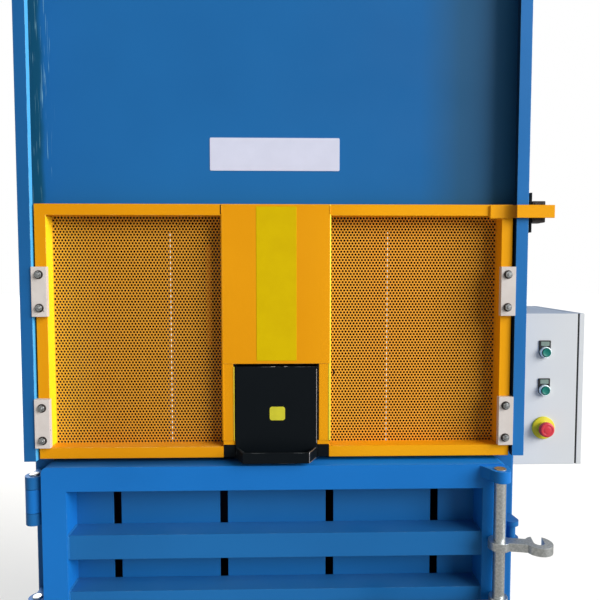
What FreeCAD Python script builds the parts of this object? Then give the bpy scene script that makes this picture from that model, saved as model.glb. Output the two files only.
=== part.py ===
"""Vertical baler: a welded press chamber with a sliding mesh feed gate in front.

Millimetres, +Z up. The front of the machine faces -Y and +X is the operator's right.
The origin lies on the floor, under the centre of the bale chamber.
"""
import FreeCAD, Part
import math
import os

V = FreeCAD.Vector

# Bale chamber
chamber_width = 1100.0
chamber_depth = 700.0
floor_top = 230.0
floor_plate = 10.0
wall_plate = 5.0
body_top = 2280.0

# Base frame and feet
runner_width = 80.0
runner_wall = 6.0
foot_plate = 20.0
foot_length = 160.0
foot_breadth = 120.0
anchor_radius = 11.0
anchor_edge = 40.0
cross_beam_width = 80.0
cross_beam_lift = 60.0
end_cap = 5.0
vent_radius = 5.0

# Corner posts and stiffening ribs
post_width = 60.0
post_depth = 100.0
post_wall = 5.0
post_corner = 7.0
rib_height = 60.0
rib_wall = 5.0
side_rib_levels = (380.0, 660.0, 940.0, 1480.0, 1800.0, 2120.0)
back_rib_width = 70.0
back_rib_depth = 60.0
back_rib_taper = 90.0
back_rib_toe = 12.0

# Strap slots, in the back, the floor, the door and the platen
slot_pitch = 270.0
slot_width = 20.0
back_slot_top = 1650.0

# Feed opening and the sheet around it
feed_sill = 1050.0
header_bottom = 1645.0
front_plate = 5.0

# Gate
gate_width = 1160.0
gate_height = 622.0
gate_depth = 40.0
gate_member = 27.0
gate_back_clearance = 5.0
mesh_sheet = 1.5
post_half = 130.5
leg_width = 25.0
cover_sheet = 1.0
cover_return = 30.0
cover_bottom = 233.0
leg_bottom = 41.0

# Guide rails and the shoes that run in them
rail_gap = 5.5
rail_width = 29.0
rail_proud = 9.5
rail_wall = 4.0
rail_lip = 17.0
left_rail_drop = 4.0
right_rail_drop = -2.0
rail_stop = 6.0
shoe_height = 120.0
shoe_overlap = 31.0
shoe_front = 14.0
shoe_slack = 0.5
shoe_run = 1.0
shoe_tongue = 20.0
shoe_reach = 21.5
shoe_low = 30.0
shoe_high = 351.0
buffer_radius = 8.5
buffer_squeeze = 0.3

# Latch flap at the foot of the gate post
tray_sheet = 4.0
tray_setback = 1.0
flap_half = 100.5
flap_sheet = 3.0
flap_bend = 2.0
flap_proud = 4.0
flap_return = 18.0
flap_bottom = -1.0
flap_top = 226.0
pin_radius = 4.0
pin_clearance = 0.3
pin_from_top = 5.0
pin_depth = 4.0
scoop_reach = 42.0
scoop_half = 80.0
scoop_height = 25.5
scoop_sheet = 4.0
scoop_inset = 2.5
scoop_cheek = 5.0

# Trip bar and the gate switch
trip_height = 31.0
trip_drop = 2.0
trip_start = 522.5
trip_bend = 553.0
trip_straight = 581.0
trip_end = 674.0
trip_sheet = 5.0
trip_clearance = 5.5
switch_body = (32.0, 40.0, 52.0)
switch_over_gate = 8.7
switch_clearance = 9.0
bracket_gap = 5.5
bracket_sheet = 5.0
bracket_height = 96.5
bracket_over_gate = 29.2
bracket_setback = 3.0
bracket_foot = (15.0, 9.0, 64.0)

# Lower door
door_lap = 17.0
door_bottom = 215.0
door_top_gap = 12.0
door_clearance = 5.0
door_skin = 5.0
door_channel = 60.0
door_channel_depth = 70.0
door_wall = 5.0
door_ribs = 4
door_rib_setback = 5.0
door_corner = 15.0

# Door hinges
hinge_levels = (330.0, 640.0, 950.0)
knuckle_radius = 22.0
knuckle_height = 60.0
knuckle_gap = 1.0
hinge_pin_radius = 12.0
hinge_pin_clearance = 0.3
knuckle_stand_off = 5.0
hinge_lug = 22.0
hinge_forward = 45.0

# Door lock: an upright shaft with two claws, turned by a lever
lock_inset = 27.0
lock_forward = 26.0
lock_shaft_radius = 14.0
lock_fit = 0.3
bearing_levels = (270.0, 640.0, 1020.0)
bearing_height = 28.0
bearing_radius = 24.0
bearing_foot = 40.0
shaft_over = 2.0
claw_levels = (430.0, 850.0)
claw_thickness = 20.0
claw_hub_radius = 26.0
claw_eye_radius = 32.0
claw_neck_half = 15.0
claw_play = 1.5
claw_open_angle = 62.0
lever_level = 700.0
lever_hub_radius = 22.0
lever_hub_height = 40.0
lever_radius = 11.0
lever_length = 330.0
lever_forward = 30.0
grip_radius = 15.0
grip_length = 115.0
keeper_thickness = 12.0
keeper_gap = 6.0
keeper_pin_radius = 11.0
keeper_eye_radius = 18.0
keeper_inset = 18.0
keeper_forward = 34.0
keeper_root = 26.0

# Crosshead, deck, cylinder and platen
top_rail_height = 100.0
end_beam_depth = 60.0
deck_plate = 8.0
crosshead_depth = 100.0
crosshead_height = 200.0
crosshead_gap = 220.0
crosshead_wall = 10.0
seat_plate = 30.0
seat_half_x = 205.0
seat_half_y = 190.0
barrel_radius = 90.0
barrel_below = 290.0
barrel_above = 730.0
barrel_fit = 3.0
gland_radius = 82.0
gland_length = 30.0
pipe_stand_off = 9.0
cap_radius = 102.0
cap_height = 45.0
cylinder_flange_radius = 160.0
cylinder_flange = 40.0
flange_bolts = 8
bolt_circle = 130.0
bolt_head_radius = 15.0
bolt_head_height = 14.0
port_radius = 16.0
port_proud = 12.0
port_inset = 40.0
rod_radius = 50.0
rod_flange_radius = 110.0
rod_flange = 30.0
rod_pad_half = 150.0
platen_bottom = 1750.0
platen_side_gap = 15.0
platen_front_gap = 20.0
platen_plate = 20.0
platen_strip = 50.0
platen_web = 15.0
platen_web_height = 160.0
platen_web_edge = 60.0
platen_web_middle = (70.0, 120.0)
guide_block = (120.0, 140.0)
guide_slack = 1.0
guide_block_edge = 70.0

# Power unit on the deck
tank_size = (360.0, 380.0, 280.0)
tank_gap = 25.0
tank_corner = 18.0
tank_lid = 6.0
tank_lid_lip = 10.0
filler_radius = 28.0
filler_height = 45.0
filler_inset = 60.0
motor_radius = 105.0
motor_height = 330.0
motor_core = 87.0
motor_fins = 20
motor_fin = 4.0
motor_fin_radius = 99.0
motor_flange_height = 20.0
motor_cowl_radius = 101.0
motor_cowl_height = 80.0
motor_back = (50.0, 50.0)
terminal_box = (110.0, 75.0, 100.0)
terminal_rise = 110.0
bell_radius = 70.0
bell_foot_radius = 95.0
bell_foot = 15.0
bell_height = 90.0
valve_size = (90.0, 140.0, 120.0)
valve_inset = 10.0
valve_forward = 30.0
coil_radius = 22.0
coil_proud = 60.0
coil_inset = 45.0
coil_rise = 85.0
outlet_rise = 40.0
riser_inset = 30.0
pipe_radius = 11.0
pipe_clearance = 3.0
pipe_bend = 30.0
riser_bend = 60.0

# Control box on the right side, its buttons and its stop button
box_gap = 18.0
box_width = 166.0
box_back = 0.0
box_front = -300.0
box_low = 991.0
box_high = 1397.0
box_sheet = 2.0
box_flange = 20.0
box_strap = 30.0
box_strap_levels = (50.0, 326.0)
box_strap_inset = 10.0
box_door_gap = 5.0
box_door = 13.0
box_door_sheet = 2.0
box_door_rib = 7.0
box_lock_radius = 9.0
box_lock_proud = 4.0
box_lock_inset = 30.0
box_hinge_radius = 5.0
box_hinge_pin = 2.5
box_hinge_fit = 0.25
box_hinge_gap = 0.5
box_hinge_offset = 1.0
box_hinge_sheet = 3.0
box_hinge_height = 50.0
box_hinge_levels = (1070.0, 1318.0)
mounting_sheet = 2.0
mounting_stand_off = 20.0
mounting_inset = 25.0
mounting_stud = 5.0
mounting_stud_inset = 20.0
button_from_post = 78.5
button_levels = (1294.5, 1193.0)
stop_level = 1091.0
holder_half = 16.3
holder_below = 14.7
holder_above = 31.0
holder_sheet = 3.0
bezel_radius = 15.3
bezel_proud = 12.0
button_radius = 11.0
button_fit = 0.5
button_proud = 3.0
button_tail = 0.5
stop_ring_radius = 30.0
stop_ring = 6.0
stop_neck_radius = 17.0
stop_neck = 5.0
stop_stem_radius = 13.0
stop_head_radius = 20.0
stop_head_proud = 30.0
stop_head_height = 13.0

# How far a cutter runs past the face that it opens
overrun = 1.0

# Places worked out from the sizes above
half_width = chamber_width / 2
half_depth = chamber_depth / 2
wall_out = half_width + wall_plate
side_out = wall_out + post_width
floor_under = floor_top - floor_plate
front_face = -half_depth - front_plate
back_face = half_depth + wall_plate
gate_back = front_face - gate_back_clearance
gate_front = gate_back - gate_depth
gate_half = gate_width / 2
gate_top = feed_sill + gate_height
rail_in = gate_half + rail_gap
rail_out = rail_in + rail_width
rail_front = gate_front - rail_proud
door_half = half_width + door_lap
platen_half_x = half_width - platen_side_gap
platen_half_y = half_depth - platen_front_gap
slots = tuple((i - 1.5) * slot_pitch for i in range(4))


def box(x0, x1, y0, y1, z0, z1):
    """A block between two corners, given in any order."""
    low = V(min(x0, x1), min(y0, y1), min(z0, z1))
    return Part.makeBox(abs(x1 - x0), abs(y1 - y0), abs(z1 - z0), low)


def rod(radius, start, end):
    """A round bar between two points."""
    axis = V(*end).sub(V(*start))
    return Part.makeCylinder(radius, axis.Length, V(*start), axis)


def outline(points):
    """A closed wire through points, as a face."""
    loop = [V(*p) for p in points]
    return Part.Face(Part.makePolygon(loop + loop[:1]))


def plan(points, z0, z1):
    """A plan outline (x, y) raised from z0 to z1."""
    return outline([(x, y, z0) for x, y in points]).extrude(V(0, 0, z1 - z0))


def along_y(points, y0, y1):
    """A front outline (x, z) carried from y0 to y1."""
    return outline([(x, y0, z) for x, z in points]).extrude(V(0, y1 - y0, 0))


def mirrored(shape):
    """The same piece on the other side of the machine."""
    return shape.mirror(V(0, 0, 0), V(1, 0, 0))


def joined(shapes):
    """Pieces welded into one solid."""
    return shapes[0].multiFuse(shapes[1:]).removeSplitter()


def hexagon(x, y, radius, z0, z1):
    """An upright bolt head, radius being to its corners."""
    turns = [math.radians(60 * i) for i in range(6)]
    return plan([(x + radius * math.cos(a), y + radius * math.sin(a)) for a in turns], z0, z1)


def cross_tube(y0, y1, z0, z1, half, wall):
    """A square tube across the machine, open at both ends."""
    return box(-half, half, y0, y1, z0, z1).cut(
        box(-half, half, y0 + wall, y1 - wall, z0 + wall, z1 - wall))


def capped_tube(x0, x1, z0, z1, wall):
    """A square tube along the depth, with welded end caps and a vent hole in its underside."""
    outer = box(x0, x1, front_face, back_face, z0, z1)
    bore = box(x0 + wall, x1 - wall, front_face + end_cap, back_face - end_cap, z0 + wall, z1 - wall)
    middle = (x0 + x1) / 2
    return outer.cut(bore).cut(rod(vent_radius, (middle, 0, z0 - overrun),
                              (middle, 0, z0 + wall + overrun)))


def rounded_tube(x0, x1, y0, y1, z0, z1, wall, radius):
    """An upright square tube with its outer corners rounded."""
    outer = box(x0, x1, y0, y1, z0, z1)
    upright = [e for e in outer.Edges if abs(e.tangentAt(e.FirstParameter).z) > 0.9]
    outer = outer.makeFillet(radius, upright)
    return outer.cut(box(x0 + wall, x1 - wall, y0 + wall, y1 - wall, z0, z1))


def save(name, solids):
    """Write one sub-part, as one solid or as several that do not touch."""
    shape = Part.makeCompound(solids) if isinstance(solids, list) else solids
    shape.exportStep("parts/" + name + ".step")


os.makedirs("parts", exist_ok=True)

# Base: two runners, three cross beams and four anchor feet
runner_out = side_out
runner_in = runner_out - runner_width
right_runner = capped_tube(runner_in, runner_out, foot_plate, floor_under, runner_wall)
save("base_runners", [right_runner, mirrored(right_runner)])

beam_span = half_depth - cross_beam_width
save("base_cross_beams", [cross_tube(y, y + cross_beam_width, cross_beam_lift, floor_under,
                                     runner_in, runner_wall)
                          for y in (-beam_span, -cross_beam_width / 2,
                                    beam_span - cross_beam_width)])

foot_x = runner_out + foot_length - runner_width - anchor_edge
foot_y = back_face - foot_breadth / 2
feet = []
for sx in (-1, 1):
    for sy in (-1, 1):
        foot = box(sx * runner_in, sx * (runner_in + foot_length), sy * back_face,
                   sy * (back_face - foot_breadth), 0, foot_plate)
        feet.append(foot.cut(rod(anchor_radius, (sx * foot_x, sy * foot_y, -overrun),
                                 (sx * foot_x, sy * foot_y, foot_plate + overrun))))
save("foot_plates", feet)

# Chamber floor, laid as strips so that straps pass between them
strip_edges = [-half_width]
for x in slots:
    strip_edges += [x - slot_width / 2, x + slot_width / 2]
strip_edges.append(half_width)
strips = list(zip(strip_edges[0::2], strip_edges[1::2]))
save("floor_plates", [box(a, b, -half_depth, half_depth, floor_under, floor_top)
                      for a, b in strips])

# Side walls, corner posts and the ribs between them
right_wall = box(half_width, wall_out, -half_depth, half_depth, floor_under, body_top)
save("right_side_wall", right_wall)
save("left_side_wall", mirrored(right_wall))

posts = []
for y0 in (-half_depth, half_depth - post_depth):
    post = rounded_tube(wall_out, side_out, y0, y0 + post_depth, floor_under, body_top,
                        post_wall, post_corner)
    posts += [post, mirrored(post)]
save("corner_posts", posts)


def side_rib(level):
    """A folded channel, open towards the wall it is welded to."""
    low = level - rib_height / 2
    high = level + rib_height / 2
    outer = box(wall_out, side_out, -half_depth + post_depth, half_depth - post_depth, low, high)
    return outer.cut(box(wall_out, side_out - rib_wall, -half_depth, half_depth,
                         low + rib_wall, high - rib_wall))


right_ribs = [side_rib(level) for level in side_rib_levels]
save("side_ribs", right_ribs + [mirrored(rib) for rib in right_ribs])

# Back wall: strips beside the strap slots, a plain upper sheet and upright ribs
back_edges = [-side_out] + strip_edges[1:-1] + [side_out]
back_strips = list(zip(back_edges[0::2], back_edges[1::2]))
save("back_wall_panels", [box(a, b, half_depth, back_face, floor_under, back_slot_top)
                          for a, b in back_strips])
save("back_wall_top", box(-side_out, side_out, half_depth, back_face, back_slot_top, body_top))


def rib_side(toe, deep, lift, taper):
    """A back rib seen from the side, drawn in towards the wall at both ends, as (y, z) points."""
    foot = [(back_face, floor_under + lift), (back_face + toe, floor_under + lift),
            (back_face + deep, floor_under + taper)]
    return foot + [(y, floor_under + body_top - z) for y, z in reversed(foot)]


rib_slope = back_rib_taper / (back_rib_depth - back_rib_toe)
rib_skin = rib_wall * math.hypot(1.0, rib_slope)
rib_hollow = back_rib_depth - rib_wall
rib_outer = rib_side(back_rib_toe, back_rib_depth, 0.0, back_rib_taper)
rib_inner = rib_side(back_rib_toe + (rib_wall - rib_skin) / rib_slope, rib_hollow, rib_wall,
                     rib_slope * (rib_hollow - back_rib_toe) + rib_skin)
back_ribs = []
for i in range(-2, 3):
    x = i * slot_pitch
    half = back_rib_width / 2
    outer = outline([(x - half, y, z) for y, z in rib_outer]).extrude(V(2 * half, 0, 0))
    half -= rib_wall
    inner = outline([(x - half, y, z) for y, z in rib_inner]).extrude(V(2 * half, 0, 0))
    back_ribs.append(outer.cut(inner))
save("back_ribs", back_ribs)

# Front sheet: the header over the feed opening and a jamb on each side of it
save("header_plate", box(-side_out, side_out, front_face, -half_depth, header_bottom, body_top))
jamb = box(half_width, side_out, front_face, -half_depth, feed_sill, header_bottom)
save("jamb_plates", [jamb, mirrored(jamb)])


def guide_rail(bottom):
    """A lipped channel: outer web, narrow front flange and a lip turned in behind it."""
    lip_end = rail_front + rail_lip
    section = [(rail_out, front_face), (rail_out, rail_front), (rail_in, rail_front),
               (rail_in, lip_end), (rail_in + rail_wall, lip_end),
               (rail_in + rail_wall, rail_front + rail_wall),
               (rail_out - rail_wall, rail_front + rail_wall),
               (rail_out - rail_wall, front_face)]
    stop_low = max(bottom, feed_sill)
    stop = box(rail_in + rail_wall, rail_out - rail_wall, rail_front + rail_wall, front_face,
               stop_low, stop_low + rail_stop)
    return joined([plan(section, bottom, body_top), stop])


right_rail_bottom = feed_sill - right_rail_drop
left_rail_bottom = feed_sill - left_rail_drop
save("right_guide_rail", guide_rail(right_rail_bottom))
save("left_guide_rail", mirrored(guide_rail(left_rail_bottom)))

# Gate: welded frame of flat members with a centre post
frame = box(-gate_half, gate_half, gate_front, gate_back, feed_sill, gate_top)
bay_out = gate_half - gate_member
bay_low = feed_sill + gate_member
bay_high = gate_top - gate_member
for side in (-1, 1):
    frame = frame.cut(box(side * post_half, side * bay_out, gate_front, gate_back,
                          bay_low, bay_high))
leg_in = post_half - leg_width
leg_low = feed_sill + leg_bottom
frame = frame.cut(box(-leg_in, leg_in, gate_front, gate_back, feed_sill, bay_high))
frame = frame.cut(box(-post_half, post_half, gate_front, gate_back, feed_sill, leg_low))
save("gate_frame", frame.removeSplitter())

mesh_y = gate_back - mesh_sheet
for name, side in (("gate_left_mesh", -1), ("gate_right_mesh", 1)):
    save(name, box(side * post_half, side * bay_out, mesh_y, gate_back, bay_low, bay_high))

# Folded cover over the upper post
cover_low = feed_sill + cover_bottom
cover_half = post_half + cover_sheet
cover = box(-cover_half, cover_half, gate_front - cover_sheet, gate_front + cover_return,
            cover_low, bay_high)
cover = cover.cut(box(-post_half, post_half, gate_front, gate_back, cover_low, gate_top))
cap_strip = box(-cover_half, cover_half, gate_front - cover_sheet, gate_front, bay_high, gate_top)
save("gate_post_cover", joined([cover, cap_strip]))

# Shoes: the gate is held between the rails by a tongue that runs behind each lip
lip_end = rail_front + rail_lip
tongue_y = lip_end + shoe_run
tongue_x = rail_in + shoe_reach
shoe_in = gate_half - shoe_overlap
shoe_out = rail_in - shoe_slack
edge_x = gate_half + shoe_slack
shoe_section = [(shoe_in, gate_front - shoe_front), (shoe_out, gate_front - shoe_front),
                (shoe_out, tongue_y), (tongue_x, tongue_y),
                (tongue_x, tongue_y + shoe_tongue), (edge_x, tongue_y + shoe_tongue),
                (edge_x, gate_front), (shoe_in, gate_front)]
shoes = []
for low in (shoe_low, shoe_high):
    shoe = plan(shoe_section, feed_sill + low, feed_sill + low + shoe_height)
    shoes += [shoe, mirrored(shoe)]
save("guide_shoes", shoes)

# Rubber buffers on the rail stops, under the lower shoes
buffers = []
buffer_x = (rail_in + rail_wall + tongue_x) / 2
buffer_y = tongue_y + shoe_tongue / 2
for side, bottom in ((1, right_rail_bottom), (-1, left_rail_bottom)):
    stop_top = max(bottom, feed_sill) + rail_stop
    buffer_top = feed_sill + shoe_low - buffer_squeeze
    buffers.append(rod(buffer_radius, (side * buffer_x, buffer_y, stop_top),
                       (side * buffer_x, buffer_y, buffer_top)))
save("gate_buffers", buffers)

# Black tray that closes the foot of the post, with the pin that the flap hangs on
tray_back = gate_back - tray_sheet
pin_y = gate_front + pin_depth
pin_z = feed_sill + flap_top - pin_from_top
tray = [box(-leg_in, leg_in, tray_back, gate_back, feed_sill, cover_low)]
for side in (-1, 1):
    tray.append(box(side * leg_in, side * post_half, gate_front + tray_setback, gate_back,
                    feed_sill, leg_low))
    tray.append(box(side * (leg_in - tray_sheet), side * leg_in, gate_front + tray_setback,
                    gate_back, feed_sill, cover_low))
tray.append(rod(pin_radius, (-leg_in, pin_y, pin_z), (leg_in, pin_y, pin_z)))
save("latch_tray", joined(tray))

# Latch flap: a shallow pan with a scoop handle along its foot
flap_low = feed_sill + flap_bottom
flap_high = feed_sill + flap_top
flap_y = gate_front - flap_proud
scoop_in = flap_half - scoop_inset
pan = box(-flap_half, flap_half, flap_y, flap_y + flap_sheet, flap_low, flap_high)
bends = [e for e in pan.Edges
         if abs(e.tangentAt(e.FirstParameter).z) > 0.9 and e.CenterOfMass.y < flap_y + 1]
pan = pan.makeFillet(flap_bend, bends)
cheek_low = flap_low + scoop_sheet
cheeks = []
for side in (-1, 1):
    cheeks.append(box(side * (flap_half - flap_sheet), side * flap_half, flap_y + flap_sheet,
                      flap_y + flap_return, cheek_low, flap_high))
scoop = plan([(-scoop_in, flap_y), (scoop_in, flap_y), (scoop_half, flap_y - scoop_reach),
              (-scoop_half, flap_y - scoop_reach)], flap_low, flap_low + scoop_height)
scoop_cut = plan([(-scoop_in + scoop_cheek, flap_y), (scoop_in - scoop_cheek, flap_y),
                  (scoop_half - scoop_cheek, flap_y - scoop_reach + scoop_sheet),
                  (-scoop_half + scoop_cheek, flap_y - scoop_reach + scoop_sheet)],
                 flap_low + scoop_sheet, flap_low + scoop_height)
flap = joined([pan, scoop.cut(scoop_cut)] + cheeks)
flap = flap.cut(rod(pin_radius + pin_clearance, (-leg_in, pin_y, pin_z), (leg_in, pin_y, pin_z)))
save("latch_flap", flap)

# Trip bar: a flat bar on the gate's top corner, swept forward past the rail
trip_high = gate_top - trip_drop
trip_low = trip_high - trip_height
trip_back = rail_front - trip_clearance
trip_front = trip_back - trip_sheet
sweep_rise = gate_front - trip_back
sweep_radius = ((trip_straight - trip_bend) ** 2 + sweep_rise ** 2) / (2 * sweep_rise)


def trip_sweep(y, radius):
    """The arc that one face of the bar follows forward from y, and the point it ends at."""
    turn = math.acos(1 - sweep_rise / radius)
    middle, end = (V(trip_bend + radius * math.sin(a), y - radius * (1 - math.cos(a)), trip_low)
                   for a in (turn / 2, turn))
    return Part.Arc(V(trip_bend, y, trip_low), middle, end).toShape(), end


front_arc, front_end = trip_sweep(gate_front - trip_sheet, sweep_radius)
back_arc, back_end = trip_sweep(gate_front, sweep_radius + trip_sheet)
left_run = [V(trip_bend, gate_front, trip_low), V(trip_start, gate_front, trip_low),
            V(trip_start, gate_front - trip_sheet, trip_low),
            V(trip_bend, gate_front - trip_sheet, trip_low)]
right_run = [front_end, V(trip_end, trip_front, trip_low), V(trip_end, trip_back, trip_low), back_end]
trip_edges = [front_arc, back_arc]
for run in (left_run, right_run):
    trip_edges += Part.makePolygon(run).Edges
trip_section = Part.Face(Part.Wire(Part.__sortEdges__(trip_edges)))
save("gate_trip_bar", trip_section.extrude(V(0, 0, trip_height)))

# Gate switch on its bracket, behind the closed trip bar
bracket_in = rail_out + bracket_gap
bracket_out = bracket_in + bracket_sheet
switch_y = trip_back + switch_clearance
switch_high = gate_top + switch_over_gate
save("gate_switch", box(bracket_out, bracket_out + switch_body[0], switch_y,
                        switch_y + switch_body[1], switch_high - switch_body[2], switch_high))
bracket_high = gate_top + bracket_over_gate
bracket_mid = bracket_high - bracket_height / 2
bracket = [box(bracket_in, bracket_out, switch_y + bracket_setback, front_face - bracket_setback,
               bracket_high - bracket_height, bracket_high),
           box(rail_out, bracket_in, front_face - bracket_foot[0], front_face - bracket_foot[1],
               bracket_mid - bracket_foot[2] / 2, bracket_mid + bracket_foot[2] / 2)]
save("switch_bracket", joined(bracket))

# Lower door: a ring of channel, horizontal ribs and a skin of strips
door_top = feed_sill - door_top_gap
skin_back = -half_depth - door_clearance
skin_front = skin_back - door_skin
door_front = skin_front - door_channel_depth
ring = box(-door_half, door_half, door_front, skin_front, door_bottom, door_top)
corners = [e for e in ring.Edges
           if abs(e.tangentAt(e.FirstParameter).y) > 0.9 and e.CenterOfMass.z > door_top - 1]
ring = ring.makeFillet(door_corner, corners)
window_x = door_half - door_channel
window_low = door_bottom + door_channel
window_high = door_top - door_channel
ring = ring.cut(box(-window_x, window_x, door_front, skin_front, window_low, window_high))
hollow = box(-door_half + door_wall, door_half - door_wall, door_front + door_wall, skin_front,
             door_bottom + door_wall, door_top - door_wall)
hollow = hollow.cut(box(-window_x - door_wall, window_x + door_wall, door_front, skin_front,
                        window_low - door_wall, window_high + door_wall))
ring = ring.cut(hollow)
knuckle_x = door_half + knuckle_stand_off + knuckle_radius
hinge_y = skin_back - hinge_forward
knuckles = []
for level in hinge_levels:
    low = level - knuckle_height / 2 + knuckle_gap
    high = level + knuckle_height / 2 - knuckle_gap
    barrel = rod(knuckle_radius, (-knuckle_x, hinge_y, low), (-knuckle_x, hinge_y, high))
    leaf = box(-knuckle_x, -door_half, hinge_y - hinge_lug / 2, hinge_y + hinge_lug / 2, low, high)
    bore = rod(hinge_pin_radius + hinge_pin_clearance, (-knuckle_x, hinge_y, low - overrun),
               (-knuckle_x, hinge_y, high + overrun))
    knuckles.append(joined([barrel, leaf]).cut(bore))

door_rib_step = (window_high - window_low) / (door_ribs + 1)
ribs = []
for i in range(door_ribs):
    level = window_low + door_rib_step * (i + 1)
    front = door_front + door_rib_setback
    outer = box(-window_x, window_x, front, skin_front, level - rib_height / 2,
                level + rib_height / 2)
    ribs.append(outer.cut(box(-window_x, window_x, front + door_wall, skin_front,
                              level - rib_height / 2 + door_wall,
                              level + rib_height / 2 - door_wall)))
save("lower_door_ribs", ribs)

skin_edges = [-door_half] + strip_edges[1:-1] + [door_half]
skin_strips = list(zip(skin_edges[0::2], skin_edges[1::2]))
save("lower_door_skin", [box(a, b, skin_front, skin_back, door_bottom, door_top - door_corner)
                         for a, b in skin_strips])

# Hinge brackets on the left post, each with its pin
brackets = []
for level in hinge_levels:
    parts = [rod(hinge_pin_radius, (-knuckle_x, hinge_y, level - knuckle_height),
                 (-knuckle_x, hinge_y, level + knuckle_height))]
    for side in (-1, 1):
        near = level + side * knuckle_height / 2
        far = level + side * knuckle_height
        parts.append(rod(knuckle_radius, (-knuckle_x, hinge_y, near), (-knuckle_x, hinge_y, far)))
        parts.append(box(-knuckle_x - hinge_lug / 2, -knuckle_x + hinge_lug / 2, hinge_y,
                         -half_depth, near, far))
    brackets.append(joined(parts))
save("hinge_brackets", brackets)

# Door lock: bearings on the door, the shaft with its claws and lever, keepers on the post
lock_x = door_half - lock_inset
lock_y = door_front - lock_forward
bearings = []
for level in bearing_levels:
    low = level - bearing_height / 2
    high = level + bearing_height / 2
    base = plan([(lock_x - bearing_foot, door_front), (lock_x + lock_inset, door_front),
                 (lock_x + bearing_radius, lock_y), (lock_x - bearing_radius, lock_y)], low, high)
    nose = rod(bearing_radius, (lock_x, lock_y, low), (lock_x, lock_y, high))
    bore = rod(lock_shaft_radius + lock_fit, (lock_x, lock_y, low - overrun),
               (lock_x, lock_y, high + overrun))
    bearings.append(joined([base, nose]).cut(bore))
save("lower_door_frame", joined([ring] + knuckles + bearings))


keeper_x = side_out - keeper_inset
keeper_y = -half_depth - keeper_forward
throw = V(keeper_x - lock_x, keeper_y - lock_y, 0)


def claw(level):
    """A plate whose hooked eye closes round a keeper pin when the shaft is turned home."""
    low = level - claw_thickness / 2
    high = level + claw_thickness / 2
    hub = rod(claw_hub_radius, (lock_x, lock_y, low), (lock_x, lock_y, high))
    eye = rod(claw_eye_radius, (keeper_x, keeper_y, low), (keeper_x, keeper_y, high))
    reach = throw.Length
    neck = box(0, reach, -claw_neck_half, claw_neck_half, low, high)
    bore_radius = keeper_pin_radius + claw_play
    mouth = joined([rod(bore_radius, (reach, 0, low), (reach, 0, high)),
                    box(reach - bore_radius, reach + bore_radius, 0, 2 * claw_eye_radius, low, high)])
    for piece in (neck, mouth):
        piece.rotate(V(0, 0, 0), V(0, 0, 1), math.degrees(math.atan2(throw.y, throw.x)))
        piece.translate(V(lock_x, lock_y, 0))
    hook = joined([hub, eye, neck]).cut(mouth)
    hook.rotate(V(lock_x, lock_y, 0), V(0, 0, 1), -claw_open_angle)
    return hook


shaft_low = bearing_levels[0] - bearing_height
shaft_high = bearing_levels[-1] + bearing_height / 2 + shaft_over
shaft = [rod(lock_shaft_radius, (lock_x, lock_y, shaft_low), (lock_x, lock_y, shaft_high))]
shaft += [claw(level) for level in claw_levels]
shaft.append(rod(lever_hub_radius, (lock_x, lock_y, lever_level - lever_hub_height / 2),
                 (lock_x, lock_y, lever_level + lever_hub_height / 2)))
lever_root = V(lock_x, lock_y, lever_level)
lever_way = V(-lever_length, -lever_forward, 0)
grip_root = lever_root.add(lever_way * (1 - grip_length / lever_way.Length))
shaft.append(rod(lever_radius, tuple(lever_root), tuple(grip_root)))
shaft.append(rod(grip_radius, tuple(grip_root), tuple(lever_root.add(lever_way))))
save("lock_shaft", joined(shaft))

keepers = []
for level in claw_levels:
    plates = []
    for side in (-1, 1):
        near = level + side * (claw_thickness / 2 + keeper_gap)
        far = near + side * keeper_thickness
        plates.append(plan([(keeper_x - keeper_eye_radius, keeper_y),
                            (keeper_x - keeper_root / 2, -half_depth),
                            (keeper_x + keeper_root / 2, -half_depth),
                            (keeper_x + keeper_eye_radius, keeper_y)], near, far))
        plates.append(rod(keeper_eye_radius, (keeper_x, keeper_y, near), (keeper_x, keeper_y, far)))
    span = claw_thickness / 2 + keeper_gap + keeper_thickness
    plates.append(rod(keeper_pin_radius, (keeper_x, keeper_y, level - span),
                      (keeper_x, keeper_y, level + span)))
    keepers.append(joined(plates))
save("lock_keepers", keepers)

# Top frame, deck and crosshead
rail_high = body_top + top_rail_height
top_side = capped_tube(half_width, side_out, body_top, rail_high, wall_plate)
save("top_side_rails", [top_side, mirrored(top_side)])
save("top_end_beams", [cross_tube(y, y + end_beam_depth, body_top, rail_high, half_width, wall_plate)
                       for y in (front_face, back_face - end_beam_depth)])
save("crosshead_beams", [cross_tube(y, y + crosshead_depth, rail_high - crosshead_height, rail_high,
                                    half_width, crosshead_wall)
                         for y in (-crosshead_gap / 2 - crosshead_depth, crosshead_gap / 2)])

deck_high = rail_high + deck_plate
deck = box(-side_out, side_out, front_face, back_face, rail_high, deck_high)
pipe_x = -(cylinder_flange_radius + pipe_radius + pipe_stand_off)
deck_half = seat_half_x - pipe_stand_off
deck_hole = box(-deck_half, deck_half, -crosshead_gap / 2, crosshead_gap / 2, rail_high, deck_high)
save("top_deck", deck.cut(deck_hole))

seat_high = deck_high + seat_plate
seat = box(-seat_half_x, seat_half_x, -seat_half_y, seat_half_y, deck_high, seat_high)
seat = seat.cut(rod(barrel_radius + barrel_fit, (0, 0, deck_high), (0, 0, seat_high)))
seat = seat.cut(rod(pipe_radius + pipe_clearance, (pipe_x, 0, deck_high), (pipe_x, 0, seat_high)))
save("cylinder_seat", seat)

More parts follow.
